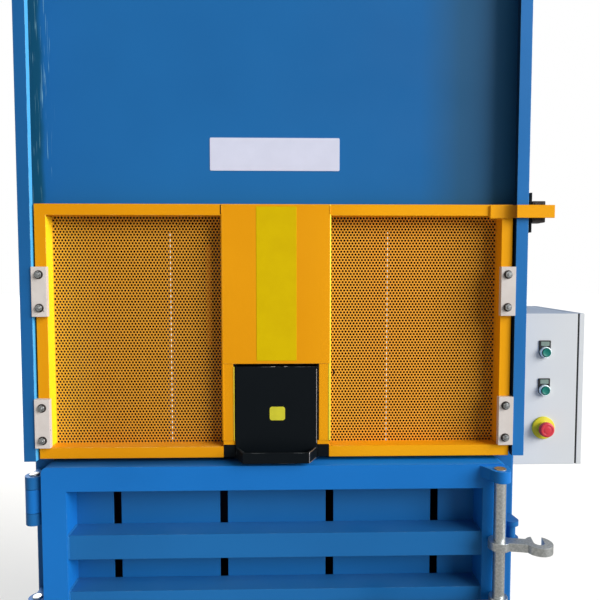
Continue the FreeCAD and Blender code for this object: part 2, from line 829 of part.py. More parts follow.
# Press cylinder: the barrel hangs through the crosshead on its flange
barrel_low = seat_high - barrel_below
barrel_high = seat_high + barrel_above
flange_high = seat_high + cylinder_flange
rod_top = barrel_low - gland_length
cylinder = [rod(barrel_radius, (0, 0, barrel_low), (0, 0, barrel_high)),
            rod(cylinder_flange_radius, (0, 0, seat_high), (0, 0, flange_high)),
            rod(cap_radius, (0, 0, barrel_high), (0, 0, barrel_high + cap_height)),
            rod(gland_radius, (0, 0, rod_top), (0, 0, barrel_low))]
for i in range(flange_bolts):
    angle = 2 * math.pi * (i + 0.5) / flange_bolts
    cylinder.append(hexagon(bolt_circle * math.cos(angle), bolt_circle * math.sin(angle),
                            bolt_head_radius, flange_high, flange_high + bolt_head_height))
port_low = barrel_low + port_inset
port_high = barrel_high - port_inset
port_x = -barrel_radius - port_proud
for z in (port_low, port_high):
    cylinder.append(rod(port_radius, (-barrel_radius + port_proud, 0, z), (port_x, 0, z)))
save("press_cylinder", joined(cylinder))

platen_top = platen_bottom + platen_strip + platen_plate + platen_web_height
press_rod = joined([rod(rod_radius, (0, 0, platen_top), (0, 0, rod_top)),
                    rod(rod_flange_radius, (0, 0, platen_top), (0, 0, platen_top + rod_flange))])
save("press_rod", press_rod)

# Platen: a face of strips with strap grooves, and a grid of webs on its back
comb = [(-platen_half_x, platen_bottom + platen_strip + platen_plate),
        (-platen_half_x, platen_bottom)]
for x in slots:
    comb += [(x - slot_width / 2, platen_bottom), (x - slot_width / 2, platen_bottom + platen_strip),
             (x + slot_width / 2, platen_bottom + platen_strip), (x + slot_width / 2, platen_bottom)]
comb += [(platen_half_x, platen_bottom), (platen_half_x, platen_bottom + platen_strip + platen_plate)]
web_low = platen_bottom + platen_strip + platen_plate
platen = [along_y(comb, -platen_half_y, platen_half_y)]
for side in (-1, 1):
    for y in (side * platen_web_middle[0], side * (platen_half_y - platen_web_edge)):
        platen.append(box(-platen_half_x, platen_half_x, y - platen_web / 2, y + platen_web / 2,
                          web_low, platen_top - platen_web))
    for x in (side * platen_web_middle[1], side * (platen_half_x - platen_web / 2)):
        platen.append(box(x - platen_web / 2, x + platen_web / 2, -platen_half_y, platen_half_y,
                          web_low, platen_top - platen_web))
platen.append(box(-rod_pad_half, rod_pad_half, -rod_pad_half, rod_pad_half,
                  platen_top - platen_web, platen_top))

for sx in (-1, 1):
    for sy in (-1, 1):
        y = sy * (platen_half_y - guide_block_edge)
        platen.append(box(sx * platen_half_x, sx * (half_width - guide_slack),
                          y - guide_block[0] / 2, y + guide_block[0] / 2, web_low,
                          web_low + guide_block[1]))
save("platen", joined(platen))

# Power unit: tank, motor, valve block and the two pipes to the cylinder
tank_x1 = -seat_half_x - tank_gap
tank_x0 = tank_x1 - tank_size[0]
tank_y1 = tank_size[1] / 2
tank_high = deck_high + tank_size[2]
tank_body = box(tank_x0, tank_x1, -tank_y1, tank_y1, deck_high, tank_high)
upright = [e for e in tank_body.Edges if abs(e.tangentAt(e.FirstParameter).z) > 0.9]
tank_body = tank_body.makeFillet(tank_corner, upright)
lid_high = tank_high + tank_lid
lid = box(tank_x0 - tank_lid_lip, tank_x1 + tank_lid_lip, -tank_y1 - tank_lid_lip,
          tank_y1 + tank_lid_lip, tank_high, lid_high)
filler_x = tank_x0 + filler_inset
filler_y = -tank_y1 + filler_inset
filler = rod(filler_radius, (filler_x, filler_y, lid_high),
             (filler_x, filler_y, lid_high + filler_height))
save("oil_tank", joined([tank_body, lid, filler]))

motor_x = (tank_x0 + tank_x1) / 2 - motor_back[0]
motor_y = motor_back[1]
bell_high = lid_high + bell_height
motor_high = bell_high + motor_height
cowl_low = motor_high - motor_cowl_height


def motor_drum(radius, low, high):
    """A round part of the motor, on its own upright axis."""
    return rod(radius, (motor_x, motor_y, low), (motor_x, motor_y, high))


motor = [motor_drum(bell_foot_radius, lid_high, lid_high + bell_foot),
         motor_drum(bell_radius, lid_high, bell_high),
         motor_drum(motor_radius, bell_high, bell_high + motor_flange_height),
         motor_drum(motor_core, bell_high, motor_high),
         motor_drum(motor_cowl_radius, cowl_low, motor_high)]
for i in range(motor_fins):
    fin = box(motor_x, motor_x + motor_fin_radius, motor_y - motor_fin / 2, motor_y + motor_fin / 2,
              bell_high + motor_flange_height, cowl_low)
    fin.rotate(V(motor_x, motor_y, 0), V(0, 0, 1), 360.0 * i / motor_fins)
    motor.append(fin)
terminal_low = bell_high + terminal_rise
motor.append(box(motor_x - terminal_box[0] / 2, motor_x + terminal_box[0] / 2,
                 motor_y - motor_core, motor_y - motor_core - terminal_box[1],
                 terminal_low, terminal_low + terminal_box[2]))
motor.append(box(motor_x - terminal_box[0] / 4, motor_x + terminal_box[0] / 4,
                 motor_y, motor_y - motor_core, terminal_low, terminal_low + terminal_box[2]))
save("pump_motor", joined(motor))

valve_x1 = tank_x1 - valve_inset
valve_y0 = -valve_size[1] / 2 - valve_forward
valve_y1 = valve_y0 + valve_size[1]
valve_high = lid_high + valve_size[2]
coil_x = valve_x1 - coil_inset
coil_z = lid_high + coil_rise
valve = box(valve_x1 - valve_size[0], valve_x1, valve_y0, valve_y1, lid_high, valve_high)
coil = rod(coil_radius, (coil_x, valve_y0 - coil_proud, coil_z), (coil_x, valve_y1 + coil_proud, coil_z))
save("valve_block", joined([valve, coil]))


def pipe(points, bend):
    """A round pipe through points, with an elbow of one radius at each turn."""
    stops = [V(*p) for p in points]
    pieces = []
    start = stops[0]
    for here, after in zip(stops[1:], stops[2:]):
        way = here.sub(start)
        way.normalize()
        turn = after.sub(here)
        turn.normalize()
        enter = here.sub(way * bend)
        pieces.append(rod(pipe_radius, tuple(start), tuple(enter)))
        ring = Part.Face(Part.Wire(Part.makeCircle(pipe_radius, enter, way)))
        pieces.append(ring.revolve(enter.add(turn * bend), way.cross(turn), 90))
        start = here.add(turn * bend)
    pieces.append(rod(pipe_radius, tuple(start), tuple(stops[-1])))
    return joined(pieces)


outlet_z = lid_high + outlet_rise
riser_x = valve_x1 - riser_inset
save("hydraulic_pipes",
     [pipe([(valve_x1, 0, outlet_z), (pipe_x, 0, outlet_z), (pipe_x, 0, port_low),
            (port_x, 0, port_low)], pipe_bend),
      pipe([(riser_x, 0, valve_high), (riser_x, 0, port_high), (port_x, 0, port_high)], riser_bend)])

# Control box: sheet shell on two straps, open to the right behind its door
box_x0 = side_out + box_gap
box_x1 = box_x0 + box_width
shell = box(box_x0, box_x1, box_front, box_back, box_low, box_high)
shell = shell.cut(box(box_x0 + box_sheet, box_x1, box_front + box_sheet, box_back - box_sheet,
                      box_low + box_sheet, box_high - box_sheet))
rim = box(box_x1 - box_sheet, box_x1, box_front, box_back, box_low, box_high)
rim = rim.cut(box(box_x0, box_x1, box_front + box_flange, box_back - box_flange,
                  box_low + box_flange, box_high - box_flange))
straps = [box(side_out, box_x0, box_front + box_strap_inset, box_back - box_strap_inset,
              box_low + rise, box_low + rise + box_strap) for rise in box_strap_levels]
face_x = box_x0 + button_from_post
shell = joined([shell, rim] + straps)
for z in button_levels:
    shell = shell.cut(rod(button_radius + button_fit, (face_x, box_front - overrun, z),
                          (face_x, box_front + box_sheet + overrun, z)))
shell = shell.cut(rod(stop_stem_radius + button_fit, (face_x, box_front - overrun, stop_level),
                      (face_x, box_front + box_sheet + overrun, stop_level)))
hinge_x = box_x1 + box_door_gap + box_hinge_offset
hinge_back = box_back + box_hinge_radius + box_hinge_offset
leaves = []
for level in box_hinge_levels:
    parts = [rod(box_hinge_pin, (hinge_x, hinge_back, level - box_hinge_height / 2),
                 (hinge_x, hinge_back, level + box_hinge_height / 2))]
    for side in (-1, 1):
        near = level + side * box_hinge_height / 6
        far = level + side * box_hinge_height / 2
        parts.append(rod(box_hinge_radius, (hinge_x, hinge_back, near), (hinge_x, hinge_back, far)))
        parts.append(box(box_x1 - box_flange, hinge_x - box_hinge_pin, box_back,
                         box_back + box_hinge_sheet, near, far))
    leaves.append(joined(parts))
save("control_box", joined([shell] + leaves))

plate_x = box_x0 + box_sheet + mounting_stand_off
mounting = [box(plate_x, plate_x + mounting_sheet, box_front + mounting_inset,
                box_back - mounting_inset, box_low + mounting_inset, box_high - mounting_inset)]
stud_inset = mounting_inset + mounting_stud_inset
for y in (box_front + stud_inset, box_back - stud_inset):
    for z in (box_low + stud_inset, box_high - stud_inset):
        mounting.append(rod(mounting_stud, (box_x0 + box_sheet, y, z), (plate_x, y, z)))
save("mounting_plate", joined(mounting))

# Control box door: a pan that swings out on two hinges
door_x0 = box_x1 + box_door_gap
door_x1 = door_x0 + box_door
lid = box(door_x0, door_x1, box_front, box_back, box_low, box_high)
lid = lid.cut(box(door_x0, door_x1 - box_door_sheet, box_front + box_door_sheet,
                  box_back - box_door_sheet, box_low + box_door_sheet, box_high - box_door_sheet))
rib_y = box_front + box_door_rib
lock_level = (box_low + box_high) / 2
quarter_turn_y = box_front + box_lock_inset
leaf_parts = [lid, box(door_x0, door_x1 - box_door_sheet, rib_y, rib_y + box_door_sheet,
                       box_low + box_door_sheet, box_high - box_door_sheet),
              rod(box_lock_radius, (door_x1, quarter_turn_y, lock_level),
                  (door_x1 + box_lock_proud, quarter_turn_y, lock_level))]
for level in box_hinge_levels:
    low = level - box_hinge_height / 6 + box_hinge_gap
    high = level + box_hinge_height / 6 - box_hinge_gap
    leaf = joined([rod(box_hinge_radius, (hinge_x, hinge_back, low), (hinge_x, hinge_back, high)),
                   box(hinge_x, door_x1 - box_door_sheet, box_back, box_back + box_hinge_sheet,
                       low, high)])
    leaf_parts.append(leaf.cut(rod(box_hinge_pin + box_hinge_fit, (hinge_x, hinge_back, low - overrun),
                                   (hinge_x, hinge_back, high + overrun))))
save("control_box_door", joined(leaf_parts))

# Push buttons in their bezels on legend holders, and the mushroom stop button on its ring
bezel_back = box_front - holder_sheet
bezel_face = box_front - bezel_proud


def at_face(radius, front, back, level):
    """A round part on the button line, between two depths."""
    return rod(radius, (face_x, front, level), (face_x, back, level))


holders = []
bezels = []
for z in button_levels:
    hole = at_face(button_radius + button_fit, bezel_face - overrun, box_front, z)
    holders.append(box(face_x - holder_half, face_x + holder_half, bezel_back, box_front,
                       z - holder_below, z + holder_above).cut(hole))
    bezels.append(at_face(bezel_radius, bezel_face, bezel_back, z).cut(hole))
save("legend_holders", holders)
save("button_bezels", bezels)
for name, z in zip(("start_button", "reset_button"), button_levels):
    save(name, at_face(button_radius, bezel_face - button_proud, box_front - button_tail, z))
ring_front = box_front - stop_ring
collar = joined([at_face(stop_ring_radius, ring_front, box_front, stop_level),
                 at_face(stop_neck_radius, ring_front - stop_neck, box_front, stop_level)])
save("stop_ring", collar.cut(at_face(stop_stem_radius + button_fit, ring_front - stop_neck - overrun,
                                     box_front, stop_level)))
head_front = box_front - stop_head_proud
save("stop_button", joined([at_face(stop_stem_radius, head_front, box_front - button_tail, stop_level),
                            at_face(stop_head_radius, head_front, head_front + stop_head_height,
                                    stop_level)]))
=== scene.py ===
import math

import bpy
import numpy as np
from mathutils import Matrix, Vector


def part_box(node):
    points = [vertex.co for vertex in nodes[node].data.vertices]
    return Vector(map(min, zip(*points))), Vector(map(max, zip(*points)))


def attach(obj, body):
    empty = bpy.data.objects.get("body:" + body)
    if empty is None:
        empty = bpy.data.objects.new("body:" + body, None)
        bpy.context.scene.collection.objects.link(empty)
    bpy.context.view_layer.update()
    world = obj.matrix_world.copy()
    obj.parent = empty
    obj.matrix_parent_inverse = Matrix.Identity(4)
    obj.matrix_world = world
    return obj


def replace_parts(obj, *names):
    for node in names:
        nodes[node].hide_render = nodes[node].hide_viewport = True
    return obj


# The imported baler: every steel part, plastic part and moving body at its place, in metres.
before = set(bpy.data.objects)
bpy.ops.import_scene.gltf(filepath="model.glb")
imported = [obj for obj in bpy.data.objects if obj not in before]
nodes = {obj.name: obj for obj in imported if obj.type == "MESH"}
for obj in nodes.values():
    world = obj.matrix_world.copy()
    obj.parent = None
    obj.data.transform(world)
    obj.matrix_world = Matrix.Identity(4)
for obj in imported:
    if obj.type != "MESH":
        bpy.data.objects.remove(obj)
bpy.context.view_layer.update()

# Camera: a phone held 1.4 m in front of the gate, at 1.52 m above the floor, turned
# a little to the right and tipped a little down. The photograph is 600 x 600 pixels.
photo_width_px = 600
focal_px = 576.0
sensor_mm = 36.0
pan_right = math.radians(1.408)
tip_down = math.radians(3.183)
camera_data = bpy.data.cameras.new("camera")
camera_data.sensor_width = sensor_mm
camera_data.lens = sensor_mm * focal_px / photo_width_px
camera_data.shift_y = -1.0 / photo_width_px
camera = bpy.data.objects.new("camera", camera_data)
camera.location = (0.0239, -1.8054, 1.5203)
camera.rotation_euler = (math.pi / 2 - tip_down, 0.0, -pan_right)
bpy.context.scene.collection.objects.link(camera)
bpy.context.scene.camera = camera
bpy.context.scene.view_settings.view_transform = "Standard"


# Floor and light: a pale studio floor, white surroundings, and daylight that comes
# through a wide door on the operator's right, with a weaker light behind the machine.
def linear(hex_colour):
    """Linear red, green, blue and alpha of an sRGB hex colour, by the sRGB curve."""
    rgb = np.array([int(hex_colour[i:i + 2], 16) for i in (1, 3, 5)]) / 255.0
    low = rgb / 12.92
    high = ((rgb + 0.055) / 1.055) ** 2.4
    return (*np.where(rgb <= 0.04045, low, high).tolist(), 1.0)


def add(tree, kind, inputs=None, **settings):
    """Add a shader node; inputs maps a socket to a value or to another node's output."""
    node = tree.nodes.new(kind)
    for name, value in settings.items():
        setattr(node, name, value)
    for name, value in (inputs or {}).items():
        if isinstance(value, bpy.types.NodeSocket):
            tree.links.new(value, node.inputs[name])
        else:
            node.inputs[name].default_value = value
    return node


def lamp(name, strength, angle, towards, spread):
    """A sun of one strength, from a compass angle seen from above and a height angle."""
    data = bpy.data.lights.new(name, "SUN")
    data.energy = strength
    data.angle = math.radians(spread)
    light = bpy.data.objects.new(name, data)
    light.rotation_euler = (math.radians(90.0 - towards), 0.0, math.radians(angle))
    bpy.context.scene.collection.objects.link(light)


world = bpy.data.worlds.new("studio")
bpy.context.scene.world = world
world.use_nodes = True
sky = world.node_tree
sky.nodes.clear()
rays = add(sky, "ShaderNodeLightPath")
seen = add(sky, "ShaderNodeMath", {0: rays.outputs["Is Camera Ray"],
                                   1: rays.outputs["Is Glossy Ray"]}, operation="ADD")
seen = add(sky, "ShaderNodeMath", {0: seen.outputs[0], 1: rays.outputs["Is Transmission Ray"]},
           operation="ADD", use_clamp=True)
fill_strength = 0.22
strength = add(sky, "ShaderNodeMapRange", {"Value": seen.outputs[0], "To Min": fill_strength,
                                           "To Max": 1.0})
light_all_round = add(sky, "ShaderNodeBackground", {"Color": (1.0, 1.0, 1.0, 1.0),
                                                    "Strength": strength.outputs["Result"]})
add(sky, "ShaderNodeOutputWorld", {"Surface": light_all_round.outputs[0]})

lamp("door_daylight", 4.0, 54.0, 24.0, 40.0)
lamp("side_window", 0.6, 84.0, 14.0, 24.0)
lamp("rear_light", 3.0, -140.0, 34.0, 30.0)

# The floor looks pale to the camera, and sends less light back up than it seems to.
floor_size = 30.0
floor_mesh = bpy.data.meshes.new("studio_floor")
corners = [(x, y, 0.0) for x, y in ((-1, -1), (1, -1), (1, 1), (-1, 1))]
floor_mesh.from_pydata([(x * floor_size, y * floor_size, z) for x, y, z in corners], [],
                       [(0, 1, 2, 3)])
floor = bpy.data.objects.new("studio_floor", floor_mesh)
bpy.context.scene.collection.objects.link(floor)
floor_paint = bpy.data.materials.new("pale_floor")
floor_paint.use_nodes = True
floor_tree = floor_paint.node_tree
floor_shader = floor_tree.nodes["Principled BSDF"]
floor_rays = add(floor_tree, "ShaderNodeLightPath")
floor_colour = add(floor_tree, "ShaderNodeMix", {0: floor_rays.outputs["Is Camera Ray"],
                                                 6: linear("#a09e9a"), 7: linear("#e9e8e5")},
                   data_type="RGBA")
floor_tree.links.new(floor_colour.outputs[2], floor_shader.inputs["Base Color"])
floor_shader.inputs["Roughness"].default_value = 0.7
floor_mesh.materials.append(floor_paint)


# Blue body: welded mild steel plate and tube, sprayed with a semi-gloss alkyd enamel.
# The gun leaves a faint orange peel, edges are rubbed thin, and dust lies on top faces.
def place_of(material):
    """The X, Y and Z outputs of a point's place, in metres."""
    place = add(material.node_tree, "ShaderNodeTexCoord").outputs["Object"]
    return add(material.node_tree, "ShaderNodeSeparateXYZ", {0: place}).outputs


def facing_of(material):
    """The X, Y and Z outputs of the way that a face looks."""
    normal = add(material.node_tree, "ShaderNodeNewGeometry").outputs["Normal"]
    return add(material.node_tree, "ShaderNodeSeparateXYZ", {0: normal}).outputs


def fade(material, value, start, end, most=1.0, least=0.0):
    """A factor that goes from least to most while the value goes from start to end."""
    return add(material.node_tree, "ShaderNodeMapRange",
               {"Value": value, "From Min": start, "From Max": end, "To Min": least,
                "To Max": most}).outputs["Result"]


def product(material, *factors):
    """Factors multiplied together."""
    total = factors[0]
    for factor in factors[1:]:
        total = add(material.node_tree, "ShaderNodeMath", {0: total, 1: factor},
                    operation="MULTIPLY").outputs[0]
    return total


def surface(name):
    """A new material, its node tree, its shader and a point's place on the piece."""
    material = bpy.data.materials.new(name)
    material.use_nodes = True
    tree = material.node_tree
    place = add(tree, "ShaderNodeTexCoord").outputs["Object"]
    return material, tree, tree.nodes["Principled BSDF"], place


def noise(tree, place, scale, detail):
    """Cloudy noise from 0 to 1, with about as many clouds in a metre as the scale says."""
    return add(tree, "ShaderNodeTexNoise", {"Vector": place, "Scale": scale,
                                            "Detail": detail}).outputs["Fac"]


def mixed(tree, factor, under, over):
    """A colour that goes from under to over with the factor; each is a hex or a socket."""
    under, over = [linear(colour) if isinstance(colour, str) else colour for colour in (under, over)]
    return add(tree, "ShaderNodeMix", {0: factor, 6: under, 7: over}, data_type="RGBA").outputs[2]


def soft_edges(tree, radius):
    """The way that a face looks, turned gradually within a radius of its edges."""
    return add(tree, "ShaderNodeBevel", {"Radius": radius}, samples=4).outputs["Normal"]


def relief(tree, shader, normal, *bumps):
    """Lay bumps over a normal, each a height, a strength and a distance in metres."""
    for height, strength, distance in bumps:
        normal = add(tree, "ShaderNodeBump", {"Height": height, "Strength": strength,
                                              "Distance": distance, "Normal": normal}).outputs[0]
    tree.links.new(normal, shader.inputs["Normal"])


def enamel(name, body_hex, deep_hex, worn_hex, roughness, specular, peel_mm, wear,
           worn_from=0.52):
    """Sprayed enamel over steel.

    Colour: body and deep shade mixed by broad noise, paler where a rounded edge turns
    away from the flat face, and dusted in proportion to how far a face looks up.
    """
    material, tree, shader, place = surface(name)
    colour = mixed(tree, fade(material, noise(tree, place, 1.7, 3.0), 0.35, 0.65), body_hex, deep_hex)

    flat = add(tree, "ShaderNodeNewGeometry").outputs["Normal"]
    rounded = soft_edges(tree, 0.0018)
    turned_away = add(tree, "ShaderNodeVectorMath", {0: flat, 1: rounded}, operation="DOT_PRODUCT")
    edge = fade(material, turned_away.outputs["Value"], 0.995, 0.80)
    rubbed = fade(material, noise(tree, place, 42.0, 4.0), worn_from, worn_from + 0.14, wear)
    colour = mixed(tree, product(material, edge, rubbed), colour, worn_hex)

    settle = noise(tree, place, 9.0, 6.0)
    dust_and_shade_film = fade(material, settle, 0.3, 0.7, 0.09, 0.01)
    dust = product(material, dust_and_shade_film, fade(material, facing_of(material)["Z"], 0.6, 1.0))
    tree.links.new(mixed(tree, dust, colour, worn_hex), shader.inputs["Base Color"])

    sheen = fade(material, settle, 0.3, 0.7, roughness + 0.09, roughness - 0.05)
    dull = add(tree, "ShaderNodeMath", {0: sheen, 1: dust}, operation="ADD")
    tree.links.new(dull.outputs[0], shader.inputs["Roughness"])
    shader.inputs["Specular IOR Level"].default_value = specular

    wave, peel = noise(tree, place, 5.0, 1.0), noise(tree, place, 1000.0 / peel_mm, 1.0)
    relief(tree, shader, rounded, (wave, 0.25, 0.004), (peel, 0.12, 0.0004))
    return material


def overpaint(material, factor, hex_colour):
    """Lay one more colour over a material's own, where the factor is near one."""
    tree = material.node_tree
    base = tree.nodes["Principled BSDF"].inputs["Base Color"]
    tree.links.new(mixed(tree, factor, base.links[0].from_socket, hex_colour), base)


def dress(material, *names):
    """Give CAD nodes one material, in place of the plain one they came with."""
    for name in names:
        mesh = nodes[name].data
        mesh.materials.clear()
        mesh.materials.append(material)


def soil_inside(material, half_width, half_depth, brown_hex):
    """Brown grime on every face inside the bale chamber, thicker where broad noise is high.

    A face is inside where |x| and |y| are less than the chamber's halves, and its own
    sheet's thickness keeps the outer faces clean.
    """
    tree = material.node_tree
    place = add(tree, "ShaderNodeTexCoord").outputs["Object"]
    where = place_of(material)
    factor = fade(material, noise(tree, place, 6.0, 6.0), 0.3, 0.6, 0.96, 0.80)
    for axis, half in (("X", half_width), ("Y", half_depth)):
        away = add(tree, "ShaderNodeMath", {0: where[axis]}, operation="ABSOLUTE").outputs[0]
        factor = product(material, factor, fade(material, away, half + 0.002, half + 0.001))
    overpaint(material, factor, brown_hex)


blue_enamel = enamel("blue_semi_gloss_enamel", "#1d66a4", "#195c97", "#6f96b8", 0.38, 0.12, 2.5, 0.5)
chamber_half_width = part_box("right_side_wall")[0].x
chamber_half_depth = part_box("back_wall_panels")[0].y
chamber_enamel = enamel("blue_enamel_soiled_inside", "#1d66a4", "#195c97", "#6f96b8", 0.38, 0.12, 2.5,
                        0.5)
soil_inside(chamber_enamel, chamber_half_width, chamber_half_depth, "#2c140d")
dress(chamber_enamel, "floor_plates", "right_side_wall", "left_side_wall", "back_wall_panels",
      "back_wall_top")
dress(blue_enamel, "base_runners", "base_cross_beams", "foot_plates", "corner_posts", "side_ribs",
      "back_ribs", "top_side_rails", "top_end_beams", "crosshead_beams", "top_deck", "cylinder_seat",
      "press_cylinder", "platen", "oil_tank", "hinge_brackets", "lock_keepers", "lower_door_ribs",
      "lower_door_skin")

# the jambs stand behind the gate in its dark gap; broad noise darkens them near black there as painted
# shade
jamb_enamel = enamel("blue_enamel_jambs_painted_shade", "#1d66a4", "#195c97", "#6f96b8", 0.44, 0.08, 2.5, 0.3)
tree = jamb_enamel.node_tree
place = add(tree, "ShaderNodeTexCoord").outputs["Object"]
jamb_painted_shade = fade(jamb_enamel, noise(tree, place, 8.0, 5.0), 0.3, 0.6, 0.97, 0.86)
overpaint(jamb_enamel, jamb_painted_shade, "#120d0c")
dress(jamb_enamel, "jamb_plates")

# the lower door's enamel is a brighter blue than the body's; on its top, a painted shadow of the gate
# darkens the left under the gate, and painted light brightens the right
door_enamel = enamel("blue_enamel_lower_door", "#176fbe", "#1568b3", "#6f9ccb", 0.38, 0.12, 2.5, 0.5)
where = place_of(door_enamel)
on_top = fade(door_enamel, facing_of(door_enamel)["Z"], 0.7, 0.95)
door_painted_shadow = fade(door_enamel, where["X"], 0.050, -0.250, 0.55)
under_gate = fade(door_enamel, where["Y"], -0.428, -0.405)
door_painted_light = fade(door_enamel, where["X"], -0.050, 0.200, 0.9)
overpaint(door_enamel, product(door_enamel, on_top, door_painted_light), "#1a82dd")
overpaint(door_enamel, product(door_enamel, on_top, door_painted_shadow, under_gate), "#0c1824")
dress(door_enamel, "lower_door_frame")


# Weld seams of the body: stitches laid by hand with a wire gun and painted over. They
# hold the side ribs, the back ribs, the feet and the guide rails to their plates.
def loft(rings):
    """Join rings of points, row to row, into a closed shell with a flat cap at each end.

    Points of a ring run anticlockwise as seen from the side that the rows climb towards.
    """
    rows, columns = rings.shape[:2]
    index = np.arange(rows * columns).reshape(rows, columns)
    here, after = index[:-1], index[1:]
    quads = np.stack([here, np.roll(here, -1, 1), np.roll(after, -1, 1), after], -1)
    caps = [index[0][::-1].tolist(), index[-1].tolist()]
    return rings.reshape(-1, 3), quads.reshape(-1, 4).tolist() + caps


def together(shells):
    """Several shells as one: their points stacked, and their faces numbered on."""
    points, faces, start = [], [], 0
    for shell_points, shell_faces in shells:
        points.append(shell_points)
        faces += [[start + corner for corner in face] for face in shell_faces]
        start += len(shell_points)
    return np.concatenate(points), faces


def put(name, shell, material, body, smooth_degrees=None):
    """A mesh piece from points and faces, dressed and riding on a body.

    Faces that meet at less than the smooth angle are shaded as one; end caps stay flat.
    """
    points, faces = shell
    mesh = bpy.data.meshes.new(name)
    mesh.from_pydata(np.asarray(points, float).tolist(), [], faces)
    mesh.validate()
    mesh.update()
    if smooth_degrees:
        mesh.shade_smooth()
        mesh.set_sharp_from_angle(angle=math.radians(smooth_degrees))
        loops = np.empty(len(mesh.polygons), np.int32)
        mesh.polygons.foreach_get("loop_total", loops)
        mesh.polygons.foreach_set("use_smooth", loops <= 4)
    mesh.materials.append(material)
    piece = bpy.data.objects.new(name, mesh)
    bpy.context.scene.collection.objects.link(piece)
    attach(piece, body)
    return piece


def spun(radius, height, centre, axis):
    """Rings about an axis: radius has a row for each height and a column for each angle."""
    axis = np.array(axis, float) / np.linalg.norm(axis)
    side = np.cross(axis, (0.0, 0.0, 1.0) if abs(axis[2]) < 0.9 else (1.0, 0.0, 0.0))
    side /= np.linalg.norm(side)
    turn = np.arange(radius.shape[1]) * 2 * math.pi / radius.shape[1]
    around = np.cos(turn)[:, None] * side + np.sin(turn)[:, None] * np.cross(axis, side)
    along = np.asarray(height, float)[:, None, None] * axis
    return loft(np.asarray(centre, float) + radius[..., None] * around[None] + along)


ripple_pitch = 0.0035
bead_sides = 7


def bead(start, end, size):
    """A weld bead between two points.

    Its radius is the size, times a rise from a tenth to full over one and a half sizes
    at each end, times 1 + 0.2 |sin(pi s / ripple pitch)| along the run s.
    """
    start, end = np.array(start, float), np.array(end, float)
    length = np.linalg.norm(end - start)
    run = np.linspace(0.0, length, int(3 * length / ripple_pitch) + 3)
    rise = 0.1 + 0.9 * np.clip(np.minimum(run, length - run) / (1.5 * size), 0, 1) ** 0.5
    radius = size * rise * (1 + 0.2 * np.abs(np.sin(math.pi * run / ripple_pitch)))
    return spun(np.repeat(radius[:, None], bead_sides, 1), run, start, end - start)


def stitches(start, end, count, length, size):
    """Beads of one length, spaced evenly along a seam from its start to its end."""
    start, end = np.array(start, float), np.array(end, float)
    way = (end - start) / np.linalg.norm(end - start)
    middles = start + (end - start) * ((np.arange(count) + 0.5) / count)[:, None]
    return [bead(middle - way * length / 2, middle + way * length / 2, size) for middle in middles]


plate_weld = 0.0030
rib_half_height = 0.030
side_rib_levels = (0.380, 0.660, 0.940, 1.480, 1.800, 2.120)
wall_low, wall_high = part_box("right_side_wall")
rib_low, rib_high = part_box("side_ribs")
seams = []
for side in (-1, 1):
    for level in side_rib_levels:
        for z in (level - rib_half_height, level + rib_half_height):
            seams += stitches((side * wall_high.x, rib_low.y, z), (side * wall_high.x, rib_high.y, z),
                              3, 0.045, plate_weld)
        for y in (rib_low.y, rib_high.y):
            seams.append(bead((side * rib_high.x, y, level - rib_half_height),
                              (side * rib_high.x, y, level + rib_half_height), plate_weld))
put("side_rib_welds", together(seams), blue_enamel, "frame", 50)

back_rib_pitch = 0.270
back_rib_half = 0.035
back_low, back_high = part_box("back_ribs")
seams = []
for i in range(-2, 3):
    for side in (-1, 1):
        x = i * back_rib_pitch + side * back_rib_half
        seams += stitches((x, back_low.y, back_low.z), (x, back_low.y, back_high.z), 9, 0.050,
                          plate_weld)
put("back_rib_welds", together(seams), blue_enamel, "frame", 50)

# Strap slots of the back wall: a round bar is welded along each edge, so that the straps
# of the bale slide over it and aren't cut by the sheet.
def turned(profile, centre, axis, sides=40, flutes=0, depth=0.0):
    """A turned piece: each (radius, height) of the profile goes round the axis as a ring.

    A fluted one has radius (1 + depth cos(flutes angle)).
    """
    radius, height = np.array(profile, float).T
    turn = np.arange(sides) * 2 * math.pi / sides
    return spun(radius[:, None] * (1 + depth * np.cos(flutes * turn)), height, centre, axis)


slot_half, slot_top = 0.010, 1.650
edge_bar = 0.0088
back_sheet_low, back_sheet_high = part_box("back_wall_panels")
bar_y = (back_sheet_low.y + back_sheet_high.y) / 2
bar_long = slot_top - back_sheet_low.z
bars = [turned([(edge_bar - 0.0005, 0), (edge_bar, 0.0005), (edge_bar, bar_long - 0.0005),
                (edge_bar - 0.0005, bar_long)],
               ((i - 1.5) * back_rib_pitch + side * slot_half, bar_y, back_sheet_low.z), (0, 0, 1), 16)
        for i in range(4) for side in (-1, 1)]
put("strap_slot_bars", together(bars), blue_enamel, "frame", 50)

foot_low, foot_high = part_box("foot_plates")
runner_low, runner_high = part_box("base_runners")
foot_breadth, foot_weld = 0.120, 0.0045
seams = []
for side in (-1, 1):
    for y0, y1 in ((foot_low.y, foot_low.y + foot_breadth), (foot_high.y - foot_breadth, foot_high.y)):
        seams.append(bead((side * runner_high.x, y0 + 0.008, foot_high.z),
                          (side * runner_high.x, y1 - 0.008, foot_high.z), foot_weld))
    for y in (runner_low.y, runner_high.y):
        seams.append(bead((side * (runner_high.x - 0.075), y, foot_high.z),
                          (side * (runner_high.x - 0.005), y, foot_high.z), foot_weld))
    seams += stitches((side * wall_high.x, rib_low.y, wall_low.z),
                      (side * wall_high.x, rib_high.y, wall_low.z), 4, 0.050, plate_weld)
put("foot_welds", together(seams), blue_enamel, "frame", 50)
